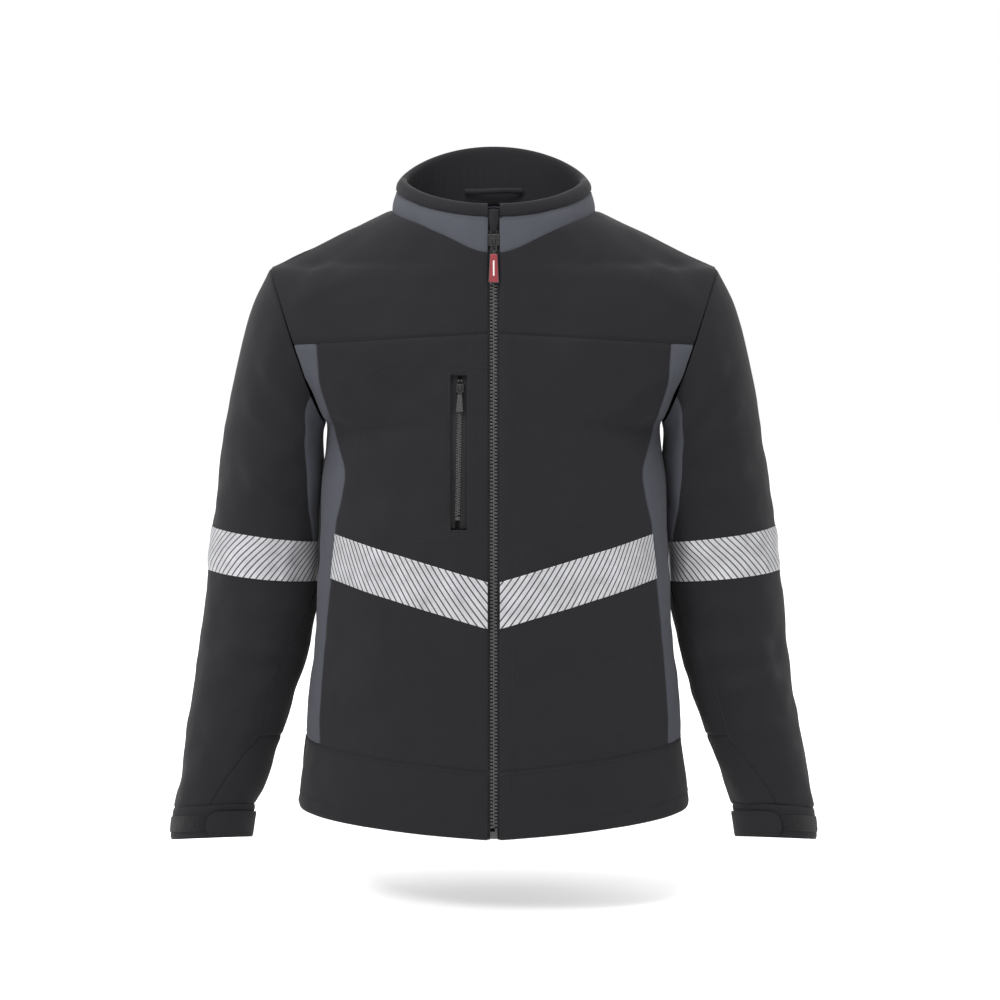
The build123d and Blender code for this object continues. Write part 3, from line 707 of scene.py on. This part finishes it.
def mirrored_back(level):
    return tau - back_angle(level)


def build_body():
    for word, side in SIDES:
        flip = side < 0
        if not flip:
            panel_with_stitches("front_panel_left", body_patch(HEM_SEAM, YOKE_SEAM, zip_edge, princess_angle),
                                BLACK, "front_panel_left", "softshell_black", lines=(("l", 9),))
        panel_with_stitches(f"side_panel_{word}", body_patch(HEM_SEAM, YOKE_SEAM, princess_angle, side_angle),
                            GREY, f"side_panel_{word}", "softshell_grey", mirror=flip)
        panel_with_stitches(f"hem_band_{word}", body_patch(HEM, HEM_SEAM, zip_edge, side_angle), BLACK,
                            f"hem_band_{word}", "softshell_black", mirror=flip,
                            lines=(("b", 17), ("l", 9), ("t", 3)))
        panel_with_stitches(f"front_yoke_{word}", yoke_patch(YOKE_SEAM, zip_edge, ridge_angle), BLACK,
                            f"front_yoke_{word}", "softshell_black", mirror=flip, lines=(("l", 9), ("b", 5)))
    build_pocket_front()
    panel_with_stitches("back_panel", body_patch(BACK_HEM_SEAM, BACK_YOKE_SEAM, back_angle, mirrored_back),
                        BLACK, "back_panel", "softshell_black")
    panel_with_stitches("hem_band_back", body_patch(BACK_HEM, BACK_HEM_SEAM, back_angle, mirrored_back),
                        BLACK, "hem_band_back", "softshell_black", lines=(("b", 17), ("t", 3)))
    panel_with_stitches("back_yoke", yoke_patch(BACK_YOKE_SEAM, back_angle, mirrored_back), BLACK,
                        "back_yoke", "softshell_black", lines=(("b", 5),))


# Chest pocket on the wearer's right: its zip window, and the stitched outline of the bag behind it.
WINDOW_X, WINDOW_Z = (30.0, 48.0), (-361.0, -189.0)
POCKET_OUTLINE = [(8, -181), (60, -179), (98, -177), (122, -180), (140, -192), (148, -212), (150, -250),
                  (150, -320), (146, -345), (134, -363), (120, -373), (60, -374), (8, -374)]


def build_pocket_front():
    """Right front panel with the pocket zip's window cut through it, and the stitching round both."""
    patch, size = body_patch(HEM_SEAM, YOKE_SEAM, zip_edge, princess_angle)

    obj = cloth("front_panel_right", patch, size, lambda p: body_fold(p, -1), mirror=True, step=5.0)
    bm = bmesh.new()
    bm.from_mesh(obj.data)
    for value, axis in ((-WINDOW_X[0], 0), (-WINDOW_X[1], 0), (WINDOW_Z[0], 2), (WINDOW_Z[1], 2)):
        normal = Vector([1.0 if k == axis else 0.0 for k in range(3)])
        bmesh.ops.bisect_plane(bm, geom=bm.verts[:] + bm.edges[:] + bm.faces[:], dist=1e-7,
                               plane_co=normal * value * MM, plane_no=normal)
    inside = [f for f in bm.faces if WINDOW_X[0] * MM < -f.calc_center_median().x < WINDOW_X[1] * MM
              and WINDOW_Z[0] * MM < f.calc_center_median().z < WINDOW_Z[1] * MM]
    bmesh.ops.delete(bm, geom=inside, context="FACES")
    rim = [e for e in bm.edges if e.is_boundary]
    bmesh.ops.bridge_loops(bm, edges=rim)
    bmesh.ops.recalc_face_normals(bm, faces=bm.faces)
    bm.to_mesh(obj.data)
    bm.free()
    for polygon in obj.data.polygons:
        polygon.use_smooth = True
    finish_piece(obj, BLACK, "coat", ["front_panel_right"])

    def on_front(x, z):
        level = (z, 0)
        angle = angle_at_x(level, x)
        p = body_point(level, angle)
        across = body_point(level, angle + 0.01) - body_point(level, max(0, angle - 0.01))
        above, below = [body_point((z + dz, 0), angle_at_x((z + dz, 0), x)) for dz in (1, -1)]
        up = above - below
        normal = across.cross(up).normalized()
        return p + normal * (0.15 + body_fold(p)), normal

    def rounded(points, per=8):
        made = []
        for i in range(len(points) - 1):
            quad = [Vector(points[max(0, min(len(points) - 1, i + k))]) for k in (-1, 0, 1, 2)]
            for n in range(per):
                t = n / per
                made.append(0.5 * (2 * quad[1] + (quad[2] - quad[0]) * t
                                   + (2 * quad[0] - 5 * quad[1] + 4 * quad[2] - quad[3]) * t**2
                                   + (3 * quad[1] - quad[0] - 3 * quad[2] + quad[3]) * t**3))
        return made

    x0, x1, z0, z1 = WINDOW_X[0] - 2, WINDOW_X[1] + 2, WINDOW_Z[0] - 2, WINDOW_Z[1] + 2
    frame_line = [Vector((x0 + (x1 - x0) * a, z0 + (z1 - z0) * b)) for a, b in
                  [(n / 6, 0) for n in range(6)] + [(1, n / 30) for n in range(30)]
                  + [(1 - n / 6, 1) for n in range(6)] + [(0, 1 - n / 30) for n in range(31)]]
    for name, line in (("pocket_outline", rounded(POCKET_OUTLINE)), ("pocket_window_stitch", frame_line)):
        laid = [on_front(p[0], p[1]) for p in line]
        obj = stitches(name, [p for p, _ in laid], [n for _, n in laid], mirror=True)
        finish_piece(obj, THREAD, "coat", ())
    path, normals = seam_line(patch, lambda u: 9 / size[0], lambda u: 0.004 + 0.992 * u, 55, body_fold)
    finish_piece(stitches("front_panel_right_stitch_0", path, normals, mirror=True), THREAD, "coat", ())


def build_lining():
    """Lining, pocket bags: inner cloth that follows the body further in."""
    edge = lambda level: angle_at_x(level, 24)
    far = lambda level: tau - edge(level)
    point, size = body_patch((-684, 0), (-254, 0), edge, far)
    gathers = lambda p: 0.8 * sin(p.z / 9) + wander(p, 40, 1.5, 9)
    obj = cloth("body_lining_lower", point, size, gathers, thick=1.0, lift=-12, step=9)
    finish_piece(obj, INSIDE, "coat", ["body_lining"])
    for name, start, end in (("front_left", edge, ridge_angle), ("front_right", edge, ridge_angle),
                             ("back", back_angle, mirrored_back)):
        point, size = yoke_patch((-253, 0), start, end)
        obj = cloth(f"body_lining_{name}", point, size, gathers, thick=1.0, lift=-9, step=9,
                    mirror=name == "front_right")
        finish_piece(obj, INSIDE, "coat", ())
    for word, side in SIDES:
        point, size = body_patch((-620, 0), (-494, 0), lambda level: angle_at_x(level, 20),
                                 lambda level: angle_at_x(level, 186))
        obj = cloth(f"hand_pocket_bag_{word}", point, size, None, thick=1.0, lift=-5.2, step=12,
                    mirror=side < 0)
        finish_piece(obj, INSIDE, "coat", [f"hand_pocket_bag_{word}"])
    point, size = body_patch((-372, 0), (-176, 0), lambda level: angle_at_x(level, 24),
                             lambda level: angle_at_x(level, 150))
    obj = cloth("chest_pocket_bag", point, size, None, thick=1.0, lift=-9.4, step=12, mirror=True)
    finish_piece(obj, INSIDE, "coat", ["chest_pocket_bag"])


def build_body_tape():
    for word, side in SIDES:
        patch = body_patch(*CHEST_TAPE, zip_edge, princess_angle)
        film = reflective(f"reflective_chest_{word}", -STRIPE_LEAN)
        obj = cloth(f"reflective_tape_chest_{word}", *patch, lambda p, s=side: body_fold(p, s), thick=0.5,
                    lift=0.55, seam=0.2, step=4, mirror=side < 0)
        finish_piece(obj, film, "coat", [f"reflective_tape_chest_{word}"])
    patch = body_patch(*BACK_TAPE, lambda level: BACK_TAPE_START, lambda level: tau - BACK_TAPE_START)
    obj = cloth("reflective_tape_back", *patch, body_fold, thick=0.5, lift=0.55, seam=0.2, step=4)
    finish_piece(obj, reflective("reflective_back", STRIPE_LEAN), "coat", ["reflective_tape_back"])


# ------------------------------------------------------------------ sleeves
def build_sleeve(word, side):
    body = f"sleeve_{word}"
    flip = side < 0
    fold = lambda p: sleeve_fold(p, side)
    rear = lambda n: -edge_angle(n)
    upper_end = lambda n: tau - edge_angle(n)
    ring_start, ring_end = (lambda n: radians(0.5)), (lambda n: radians(359.5))
    made = []

    def add(name, low, high, start, end, material, slot, **settings):
        point, size = sleeve_patch(high, low, start, end)
        bend = settings.pop("fold", fold)
        obj = cloth(name, point, size, bend, mirror=flip, **settings)
        finish_piece(obj, material, None, [name])
        made.append(obj)
        return point, size

    point, size = add(f"sleeve_upper_{word}", 0, 12, edge_angle, upper_end, BLACK, "softshell_black", step=6)
    path, normals = seam_line(point, lambda u: 1 - 4.0 / size[0], lambda u: 0.01 + 0.98 * u, 70, fold)
    thread = stitches(f"sleeve_upper_{word}_stitch_0", path, normals, mirror=flip)
    finish_piece(thread, THREAD, None, ())
    made.append(thread)
    add(f"sleeve_gusset_{word}", 0, 7, rear, edge_angle, GREY, "softshell_grey")
    add(f"sleeve_under_{word}", 7, 10, rear, edge_angle, BLACK, "softshell_black")
    add(f"forearm_patch_{word}", 10, 12, rear, edge_angle, BLACK, "softshell_black")
    add(f"sleeve_lining_{word}", 0.2, 12.4, ring_start, ring_end, INSIDE, "lining_black", thick=1.0, lift=-5,
        step=10, edges="")
    film = reflective(f"reflective_sleeve_{word}", STRIPE_LEAN, flip_after=FILM_JOINT if flip else None)
    tape = sleeve_patch(7, 6, ring_start, ring_end)
    obj = cloth(f"sleeve_tape_{word}", *tape, fold, thick=0.5, lift=0.6, seam=0.2, step=4, mirror=flip)
    finish_piece(obj, film, body, [f"sleeve_tape_{word}"])
    # The sleeve's cloth pieces are tied to no body; their placing is baked into their meshes.
    for piece in made:
        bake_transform(piece)
    build_cuff(word, side, body)


def build_cuff(word, side, body):
    flip = side < 0
    ring_start, ring_end = (lambda n: radians(0.5)), (lambda n: radians(359.5))
    ripple = lambda p: wander(p, 22, 0.8, 7)
    point, size = sleeve_patch(13, 12, ring_start, ring_end)
    obj = cloth(f"cuff_{word}", point, size, ripple, mirror=flip, step=4)
    finish_piece(obj, BLACK, body, [f"cuff_{word}"])
    for n, t in enumerate((0.10, 0.86)):
        path, normals = seam_line(point, lambda u: 0.01 + 0.98 * u, lambda u, t=t: t, 60, ripple)
        finish_piece(stitches(f"cuff_{word}_stitch_{n}", path, normals, mirror=flip), THREAD, body, ())
    at = lambda degrees: (lambda n: radians(degrees))
    point, size = sleeve_patch(12.78, 12.3, at(50), at(205))
    obj = cloth(f"cuff_loop_patch_{word}", point, size, lambda p: ripple(p) + wander(p, 2.2, 0.5, 11),
                thick=0.9, lift=1.1, seam=0.3, step=1.6, mirror=flip)
    finish_piece(obj, PILE, body, [f"cuff_loop_patch_{word}"])
    point, size = sleeve_patch(12.98, 12.22, at(4), at(90))
    tab = cloth(f"cuff_tab_{word}", point, size, None, thick=2.0, lift=4.4, seam=0.6, step=3, mirror=flip)
    round_tab_corner(tab)
    finish_piece(tab, BLACK, f"cuff_tab_{word}", [f"cuff_tab_{word}"])
    inset = 3.0
    lines = [(lambda u: 0.03 + 0.90 * u, lambda u: inset / size[1]),
             (lambda u: 0.03 + 0.90 * u, lambda u: 1 - inset / size[1])]
    for n, (s_of, t_of) in enumerate(lines):
        path, normals = seam_line(point, s_of, t_of, 20, None, lift=4.5)
        finish_piece(stitches(f"cuff_tab_{word}_stitch_{n}", path, normals, mirror=flip), THREAD,
                     f"cuff_tab_{word}", ())
    point, size = sleeve_patch(12.8, 12.3, at(56), at(84))
    hook = cloth(f"cuff_hook_patch_{word}", point, size, None, thick=0.7, lift=2.35, seam=0.1, step=2,
                 mirror=flip)
    finish_piece(hook, PILE, f"cuff_tab_{word}", [f"cuff_hook_patch_{word}"])


def round_tab_corner(tab):
    """Draw the free end's corners in to a round shape."""
    layer = tab.data.uv_layers["flat"].data
    uv = {loop.vertex_index: layer[loop.index].uv for loop in tab.data.loops}
    length = max(v.x for v in uv.values())
    height = max(v.y for v in uv.values())
    radius = 0.012
    verts = tab.data.vertices
    corners = {}
    for index, v in uv.items():
        u = v.x
        for top in (0, 1):
            dv = (height - v.y) if top else v.y
            if length - u < radius and dv < radius:
                a, b = (radius - length + u) / radius, (radius - dv) / radius
                reach = max(a, b)
                size = (a * a + b * b) ** 0.5
                if size > 1e-6:
                    corners[index] = (reach / size, top)
    centre_points = {}
    for index, (_, top) in corners.items():
        key = (top, index >= len(verts) // 2)
        if key not in centre_points:
            target_v = height - radius if top else radius
            half = len(verts) // 2
            pool = range(half, len(verts)) if key[1] else range(half)
            best = min(pool, key=lambda i: (uv[i].x - length + radius) ** 2 + (uv[i].y - target_v) ** 2)
            centre_points[key] = verts[best].co.copy()
    for index, (scale, top) in corners.items():
        centre = centre_points[(top, index >= len(verts) // 2)]
        verts[index].co = centre + (verts[index].co - centre) * scale


# ------------------------------------------------------------------ collar
def collar_point(angle, share, out):
    """Point on the collar: share 0 is the neck seam and 1 the top edge, out is outwards in mm."""
    base = Vector((*neck_xy(NECK, angle), neck_height(angle) + 0.4))
    front, side, back = RIM_HEIGHT
    end_height = front if cos(angle) > 0 else back
    rim = Vector((*neck_xy(RIM, angle), side + (end_height - side) * abs(cos(angle)) ** 1.3))
    outward = Vector((sin(angle) / NECK[0], -cos(angle) / NECK[1], 0)).normalized()
    return base + (rim - base) * share + outward * out, (rim - base).length


def build_collar():
    edge = asin(ZIP_GAP / NECK[0])
    count = 150
    angles = [edge + (tau - 2 * edge) * n / count for n in range(count + 1)]
    heights = {a: collar_point(a, 0, 0)[1] for a in angles}

    def at(s):
        return edge + (tau - 2 * edge) * s

    def band(s, t):
        a = at(s)
        height = collar_point(a, 0, 0)[1]
        top = (height - ROLL + 1) / height
        swell = 1.2 * sin(pi * t)
        return collar_point(a, top * t - 4 / height * (1 - t), swell - 1.2 * (1 - t) ** 6)[0]

    ripple = lambda p: wander(p, 35, 1.0, 13)
    size = (610, 48)
    obj = cloth("collar_band", band, size, ripple, thick=2.4, step=5)
    finish_piece(obj, GREY, "coat", ["collar_band"])
    for n, t in enumerate((0.10, 0.90)):
        path, normals = seam_line(band, lambda u: 0.005 + 0.99 * u, lambda u, t=t: t, 130, ripple)
        finish_piece(stitches(f"collar_band_stitch_{n}", path, normals), THREAD_GREY, "coat", ())

    # Padded roll and facing, one closed section swept round the neck.
    bm = bmesh.new()
    rings = []
    for a in angles:
        height = heights[a]
        foot = height - ROLL
        puff = 0.9 * noise.noise(Vector((a * 9, 0, 0))) + 0.5 * sin(a * 46)
        gather = 0.9 * sin(a * 64) + 0.8 * noise.noise(Vector((a * 22, 3, 0)))
        section = [(foot + 0.2, 0.2), (foot + 2, 1.7), (foot + 6, 2.4 + puff * 0.4),
                   (height - 5, 2.2 + puff * 0.3),
                   (height - 1.6, 0.4), (height - 0.2, -2.2), (height - 0.2, -5.4), (height - 1.8, -8),
                   (height - 5, -9.4), (foot + 3, -9.2 - gather * 0.5), (foot * 0.75, -8.2 - gather),
                   (foot * 0.4, -7.8 - gather), (1, -7.4), (0, -6.0), (1, -5.4), (foot * 0.5, -5.2),
                   (foot - 2, -4.6), (foot - 0.6, -2.6)]
        ring = []
        for up, out in section:
            p = collar_point(a, up / height, out)[0]
            if cos(a) > 0.99:
                p.x = copysign(ZIP_GAP, sin(a))
            ring.append(bm.verts.new(p * MM))
        rings.append(ring)
    skin(bm, rings)
    obj = to_object(bm, "collar_roll_and_facing")
    subdivide(obj, 1)
    finish_piece(obj, BLACK, "coat", ["collar_roll_and_facing"])

    low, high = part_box("hanger_loop")
    bm = bmesh.new()
    middle_z, half_x = (low.z + high.z) / 2 / MM, high.x / MM
    far_y, near_y = high.y / MM, low.y / MM
    rings = []
    for n in range(41):
        u = -1 + 2 * n / 40
        y = far_y - 0.7 - (far_y - near_y - 1.4) * (1 - u * u)
        centre = Vector((u * half_x, y, middle_z + 0.6 * sin(u * 3)))
        rings.append([bm.verts.new((centre + Vector((0, dy, dz))) * MM) for dy, dz in
                      ((-0.6, -3), (-0.7, 0), (-0.6, 3), (0.5, 3.2), (0.6, 0), (0.5, -3.2))])
    skin(bm, rings)
    finish_piece(to_object(bm, "hanger_loop"), TAPE_WEAVE, "coat", ["hanger_loop"])


def subdivide(obj, levels):
    modifier = obj.modifiers.new("smooth", "SUBSURF")
    modifier.levels = modifier.render_levels = levels
    bpy.context.view_layer.objects.active = obj
    for other in bpy.context.selected_objects:
        other.select_set(False)
    obj.select_set(True)
    bpy.ops.object.modifier_apply(modifier=modifier.name)


# ------------------------------------------------------------------ zips
MAIN = dict(half=4.1, pitch=3.9, tooth=2.0, mid=4.2, thick=3.4, tape=0.8, tape_width=7, start=14, end=672)
CHEST = dict(half=2.8, pitch=2.8, tooth=1.45, mid=5.0, thick=2.4, tape=0.8, tape_width=9, start=10, end=148)
MAIN_SLIDER = dict(half=6.2, length=13, plate=1.6, slot=1.3, clear=0.3, arch=3.2, bar=1.4, rest=662)
CHEST_SLIDER = dict(half=4.4, length=9.5, plate=1.3, slot=1.2, clear=0.25, arch=2.6, bar=1.2, rest=147.6)
MAIN_PULL = dict(arm=17, width=7.2, tab=31, top=7.6, foot=10.6, thick=2.8)
CHEST_PULL = dict(arm=9, width=5.6, tab=18, top=5.0, foot=8.2, thick=2.2)


def build_teeth(name, chain, side, matrix, nodes):
    """Moulded teeth: a head that interlocks past the middle, a waist and a body that grips the tape."""
    bm = bmesh.new()
    half, mid, thick = chain["half"], chain["mid"], chain["thick"] / 2
    reach = half / 3.2
    along = chain["start"] + (chain["pitch"] / 2 if side > 0 else 0)
    while along + chain["tooth"] < chain["end"]:
        low, high = along, along + chain["tooth"]
        for x0, x1, grow in ((-reach, half * 0.32, 0.0), (half * 0.25, half * 0.98, 0.28)):
            x = sorted((side * x0, side * x1))
            deep = thick - grow * 0.4
            rounded_box(bm, (x[0], mid - deep, low - grow), (x[1], mid + deep, high + grow),
                        bevel=chain["tooth"] * 0.22, segments=1)
        along += chain["pitch"]
    obj = place(bm, name, matrix)
    return finish_piece(obj, TEETH, "coat", nodes)


def build_slider(name, chain, slider, matrix):
    bm = bmesh.new()
    half, start = slider["half"], slider["rest"]
    end = start + slider["length"]
    near = chain["mid"] - chain["thick"] / 2 - slider["clear"]
    far = chain["mid"] + chain["thick"] / 2 + slider["clear"]
    slot = (chain["mid"] - slider["slot"] / 2, chain["mid"] + slider["slot"] / 2)
    wall = chain["half"] + 0.5
    rounded_box(bm, (-half, near - slider["plate"], start), (half, near, end), 0.6, 3)
    rounded_box(bm, (-half, far, start), (half, far + slider["plate"], end), 0.6, 3)
    for x0, x1 in ((wall, half), (-half, -wall)):
        rounded_box(bm, (x0, near - 0.4, start), (x1, slot[0], end), 0.25)
        rounded_box(bm, (x0, slot[1], start), (x1, far + 0.4, end), 0.25)
    face, rise = near - slider["plate"], slider["arch"]
    rounded_box(bm, (-1.3, face - rise - 1.1, start + 2), (1.3, face - rise, end - 1), 0.4, 3)
    rounded_box(bm, (-1.3, face - rise - 0.6, start + 2), (1.3, face + 0.3, start + 3.4), 0.3)
    rounded_box(bm, (-1.3, face - rise - 0.6, end - 2.4), (1.3, face + 0.3, end - 1), 0.3)
    obj = place(bm, name, matrix)
    return finish_piece(obj, LACQUER, name, [name])


def build_pull(prefix, chain, slider, pull, matrix, material):
    """Link that swings on the slider's arch, and the grip on its end."""
    body = f"{prefix}_pull"
    face = chain["mid"] - chain["thick"] / 2 - slider["clear"] - slider["plate"]
    depth, axis = face - slider["arch"] / 2, slider["rest"] + slider["length"] / 2 + 0.5
    bar, half = slider["bar"] / 2, pull["width"] / 2
    bm = bmesh.new()
    rounded_box(bm, (-half, depth - bar, axis - bar), (half, depth + bar, axis + bar), 0.4, 3)
    foot = axis - pull["arm"]
    for x0, x1 in ((1.7, half), (-half, -1.7)):
        rounded_box(bm, (x0, depth - bar, foot), (x1, depth + bar, axis + bar * 0.6), 0.4, 3)
    rounded_box(bm, (-half, depth - bar, foot), (half, depth + bar, foot + 4), 0.4, 3)
    link = f"{prefix}_pull_link"
    finish_piece(place(bm, link, matrix), LACQUER, body, [link])

    bm = bmesh.new()
    thick = pull["thick"] / 2
    bottom = foot - pull["tab"]
    wide, taper = pull["top"] / 2, pull["foot"] / pull["top"]
    rounded_box(bm, (-wide, depth - thick, bottom), (wide, depth + thick, foot + 0.4), 1.0, 4, taper=taper)
    grip = place(bm, f"{prefix}_pull_tab", matrix)
    finish_piece(grip, material, body, [f"{prefix}_pull_tab"])
    if prefix == "main":
        # Black edging round the red grip, and one plain raised bar down its middle.
        bm = bmesh.new()
        rounded_box(bm, (-wide - 0.5, depth - thick * 0.55, bottom - 0.5),
                    (wide + 0.5, depth + thick * 0.55, foot + 0.6), 0.8, 3, taper=taper)
        finish_piece(place(bm, "main_pull_edging", matrix), TEETH, body, ())
        bm = bmesh.new()
        rounded_box(bm, (-0.9, depth - thick - 0.35, bottom + 7), (0.9, depth - thick + 0.3, foot - 7), 0.3)
        finish_piece(place(bm, "main_pull_bar", matrix), WHITE, body, ())
    else:
        bm = bmesh.new()
        for n in range(3):
            z = bottom + 4 + 3.6 * n
            rounded_box(bm, (-2.2, depth - thick - 0.3, z), (2.2, depth - thick + 0.3, z + 1.2), 0.25)
        finish_piece(place(bm, "chest_pull_ribs", matrix), TEETH, body, ())


def build_tape_strip(name, chain, side, span, matrix, nodes):
    """Woven zip tape with its corded edge beside the teeth."""
    bm = bmesh.new()
    inner = chain["half"] + 0.05
    x = sorted((side * inner, side * (inner + chain["tape_width"])))
    mid, half_thick = chain["mid"], chain["tape"] / 2
    rounded_box(bm, (x[0], mid - half_thick, span[0]), (x[1], mid + half_thick, span[1]), 0.15)
    cord = sorted((side * (inner - 0.35), side * (inner + 0.7)))
    rounded_box(bm, (cord[0], mid - 1.0, span[0] + 1), (cord[1], mid + 1.0, span[1] - 1), 0.3)
    return finish_piece(place(bm, name, matrix), TAPE_WEAVE, "coat", nodes)


def build_zips():
    main = zip_matrix(Vector((0, -front_depth(HEM[0]), HEM[0])), Vector((0, -front_depth(0), 0)))
    for word, side in SIDES:
        build_teeth(f"zip_teeth_{word}", MAIN, side, main, [f"zip_teeth_{word}"])
        build_tape_strip(f"zip_tape_{word}", MAIN, side, (1, 680), main, [f"zip_tape_{word}"])
    build_slider("main_slider", MAIN, MAIN_SLIDER, main)
    build_pull("main", MAIN, MAIN_SLIDER, MAIN_PULL, main, RED)
    simple = (("zip_top_stops", [((1.2, 2.8, 676), (3.9, 5.6, 679.4)),
                                 ((-3.9, 2.8, 676), (-1.2, 5.6, 679.4))]),
              ("zip_bottom_box", [((-4.05, 2.0, 2), (4.05, 6.4, 10))]),
              ("zip_insertion_pin", [((1.2, 2.9, 9.6), (3.8, 5.5, 13.6))]))
    for name, boxes in simple:
        bm = bmesh.new()
        for low, high in boxes:
            rounded_box(bm, low, high, 0.5, 3)
        finish_piece(place(bm, name, main), TEETH, "coat", [name])
    build_garage(main)
    bm = bmesh.new()
    rounded_box(bm, (-20, 8.6, 8), (22, 10.4, 640), 0.7, 3)
    finish_piece(place(bm, "storm_flap", main), BLACK, "coat", ["storm_flap"])

    foot, head = [body_point((z, 0), angle_at_x((z, 0), x)) for x, z in ((40.6, -355), (37.4, -193))]
    foot.x, head.x = -foot.x, -head.x
    chest = zip_matrix(foot, head)
    for word, side in SIDES:
        build_tape_strip(f"chest_zip_tape_{word}", CHEST, side, (-4, 168), chest,
                         ["chest_zip_tapes"] if side > 0 else ())
    for word, side in SIDES:
        build_teeth(f"chest_zip_teeth_{word}", CHEST, side, chest, ["chest_zip_teeth"] if side > 0 else ())
    bm = bmesh.new()
    rounded_box(bm, (-2.6, 3.4, 5), (2.6, 6.6, 9), 0.5, 3)
    for x0, x1 in ((0.6, 2.6), (-2.6, -0.6)):
        rounded_box(bm, (x0, 3.6, 159), (x1, 6.4, 162), 0.4, 3)
    finish_piece(place(bm, "chest_zip_stops", chest), TEETH, "coat", ["chest_zip_stops"])
    build_slider("chest_slider", CHEST, CHEST_SLIDER, chest)
    build_pull("chest", CHEST, CHEST_SLIDER, CHEST_PULL, chest, TEETH)


def build_garage(matrix):
    """Folded cloth that covers the top of the zip, wide at the rim and narrow at its foot."""
    base = MAIN_SLIDER["rest"] + MAIN_SLIDER["length"] + 1.5
    bm = bmesh.new()
    rings = []
    for n in range(9):
        t = n / 8
        half = 2.8 + 3.6 * t ** 0.8
        z = base + 26 * t
        bulge = 1.4 * sin(pi * min(1, t * 1.1)) + 2.2 * t
        ring = []
        for k in range(9):
            u = -1 + 2 * k / 8
            ring.append(bm.verts.new((u * half, 0.4 - bulge * (1 - u * u) + 0.5 * abs(u), z)))
        for k in range(8, -1, -1):
            u = -1 + 2 * k / 8
            ring.append(bm.verts.new((u * half, 2.0 - bulge * 0.6 * (1 - u * u) + 0.5 * abs(u), z)))
        rings.append(ring)
    skin(bm, rings)
    finish_piece(place(bm, "zip_garage", matrix), BLACK, "coat", ["zip_garage"])


# ------------------------------------------------------------------ stage, lights and camera
def build_stage():
    """Plain white floor, a little below the hem of the hanging coat."""
    lowest = cad_box[0].z - 0.06
    bm = bmesh.new()
    bmesh.ops.create_circle(bm, cap_ends=True, segments=96, radius=14,
                            matrix=Matrix.Translation((0, 0, lowest)))
    mesh = bpy.data.meshes.new("floor")
    bm.to_mesh(mesh)
    bm.free()
    floor = make_object("floor", mesh)
    material, _, bsdf = shader("floor_white", (0.9, 0.9, 0.9), 0.9)
    bsdf.inputs["Emission Color"].default_value = (1, 1, 1, 1)
    bsdf.inputs["Emission Strength"].default_value = 0.35
    mesh.materials.append(material)


def area_light(name, place_at, target, size, energy):
    light = bpy.data.lights.new(name, "AREA")
    light.shape, light.size, light.energy = "SQUARE", size, energy
    obj = bpy.data.objects.new(name, light)
    bpy.context.collection.objects.link(obj)
    obj.location = place_at
    obj.rotation_euler = (Vector(target) - Vector(place_at)).to_track_quat("-Z", "Y").to_euler()


def build_lights_and_camera():
    bpy.context.scene.view_settings.view_transform = "Standard"
    middle = (0, 0, -0.35)
    area_light("key", (-1.7, -1.7, 1.6), middle, 0.7, 52)
    area_light("fill", (2.0, -2.0, 0.4), middle, 1.4, 5)
    area_light("top", (0.0, -0.8, 1.9), (0, 0, -0.1), 1.0, 34)
    area_light("rim_left", (-2.4, 0.9, 0.6), middle, 0.9, 5)
    area_light("rim_right", (2.4, 0.9, 0.6), middle, 0.9, 5)
    area_light("back", (0.2, 2.1, 0.9), (0, 0, -0.2), 1.0, 14)
    world = bpy.data.worlds.new("studio")
    bpy.context.scene.world = world
    world.use_nodes = True
    world.node_tree.nodes["Background"].inputs["Color"].default_value = (1, 1, 1, 1)
    world.node_tree.nodes["Background"].inputs["Strength"].default_value = 1.0
    camera = bpy.data.cameras.new("camera")
    camera.lens, camera.sensor_width = 80.5, 36
    obj = bpy.data.objects.new("camera", camera)
    bpy.context.collection.objects.link(obj)
    obj.location = (0, -2.6, -0.15)
    obj.rotation_euler = (radians(90 - 4.09), 0, radians(-0.16))
    bpy.context.scene.camera = obj


build_body()
build_lining()
build_body_tape()
for side_word, side_sign in SIDES:
    build_sleeve(side_word, side_sign)
build_collar()
build_zips()
build_stage()
build_lights_and_camera()
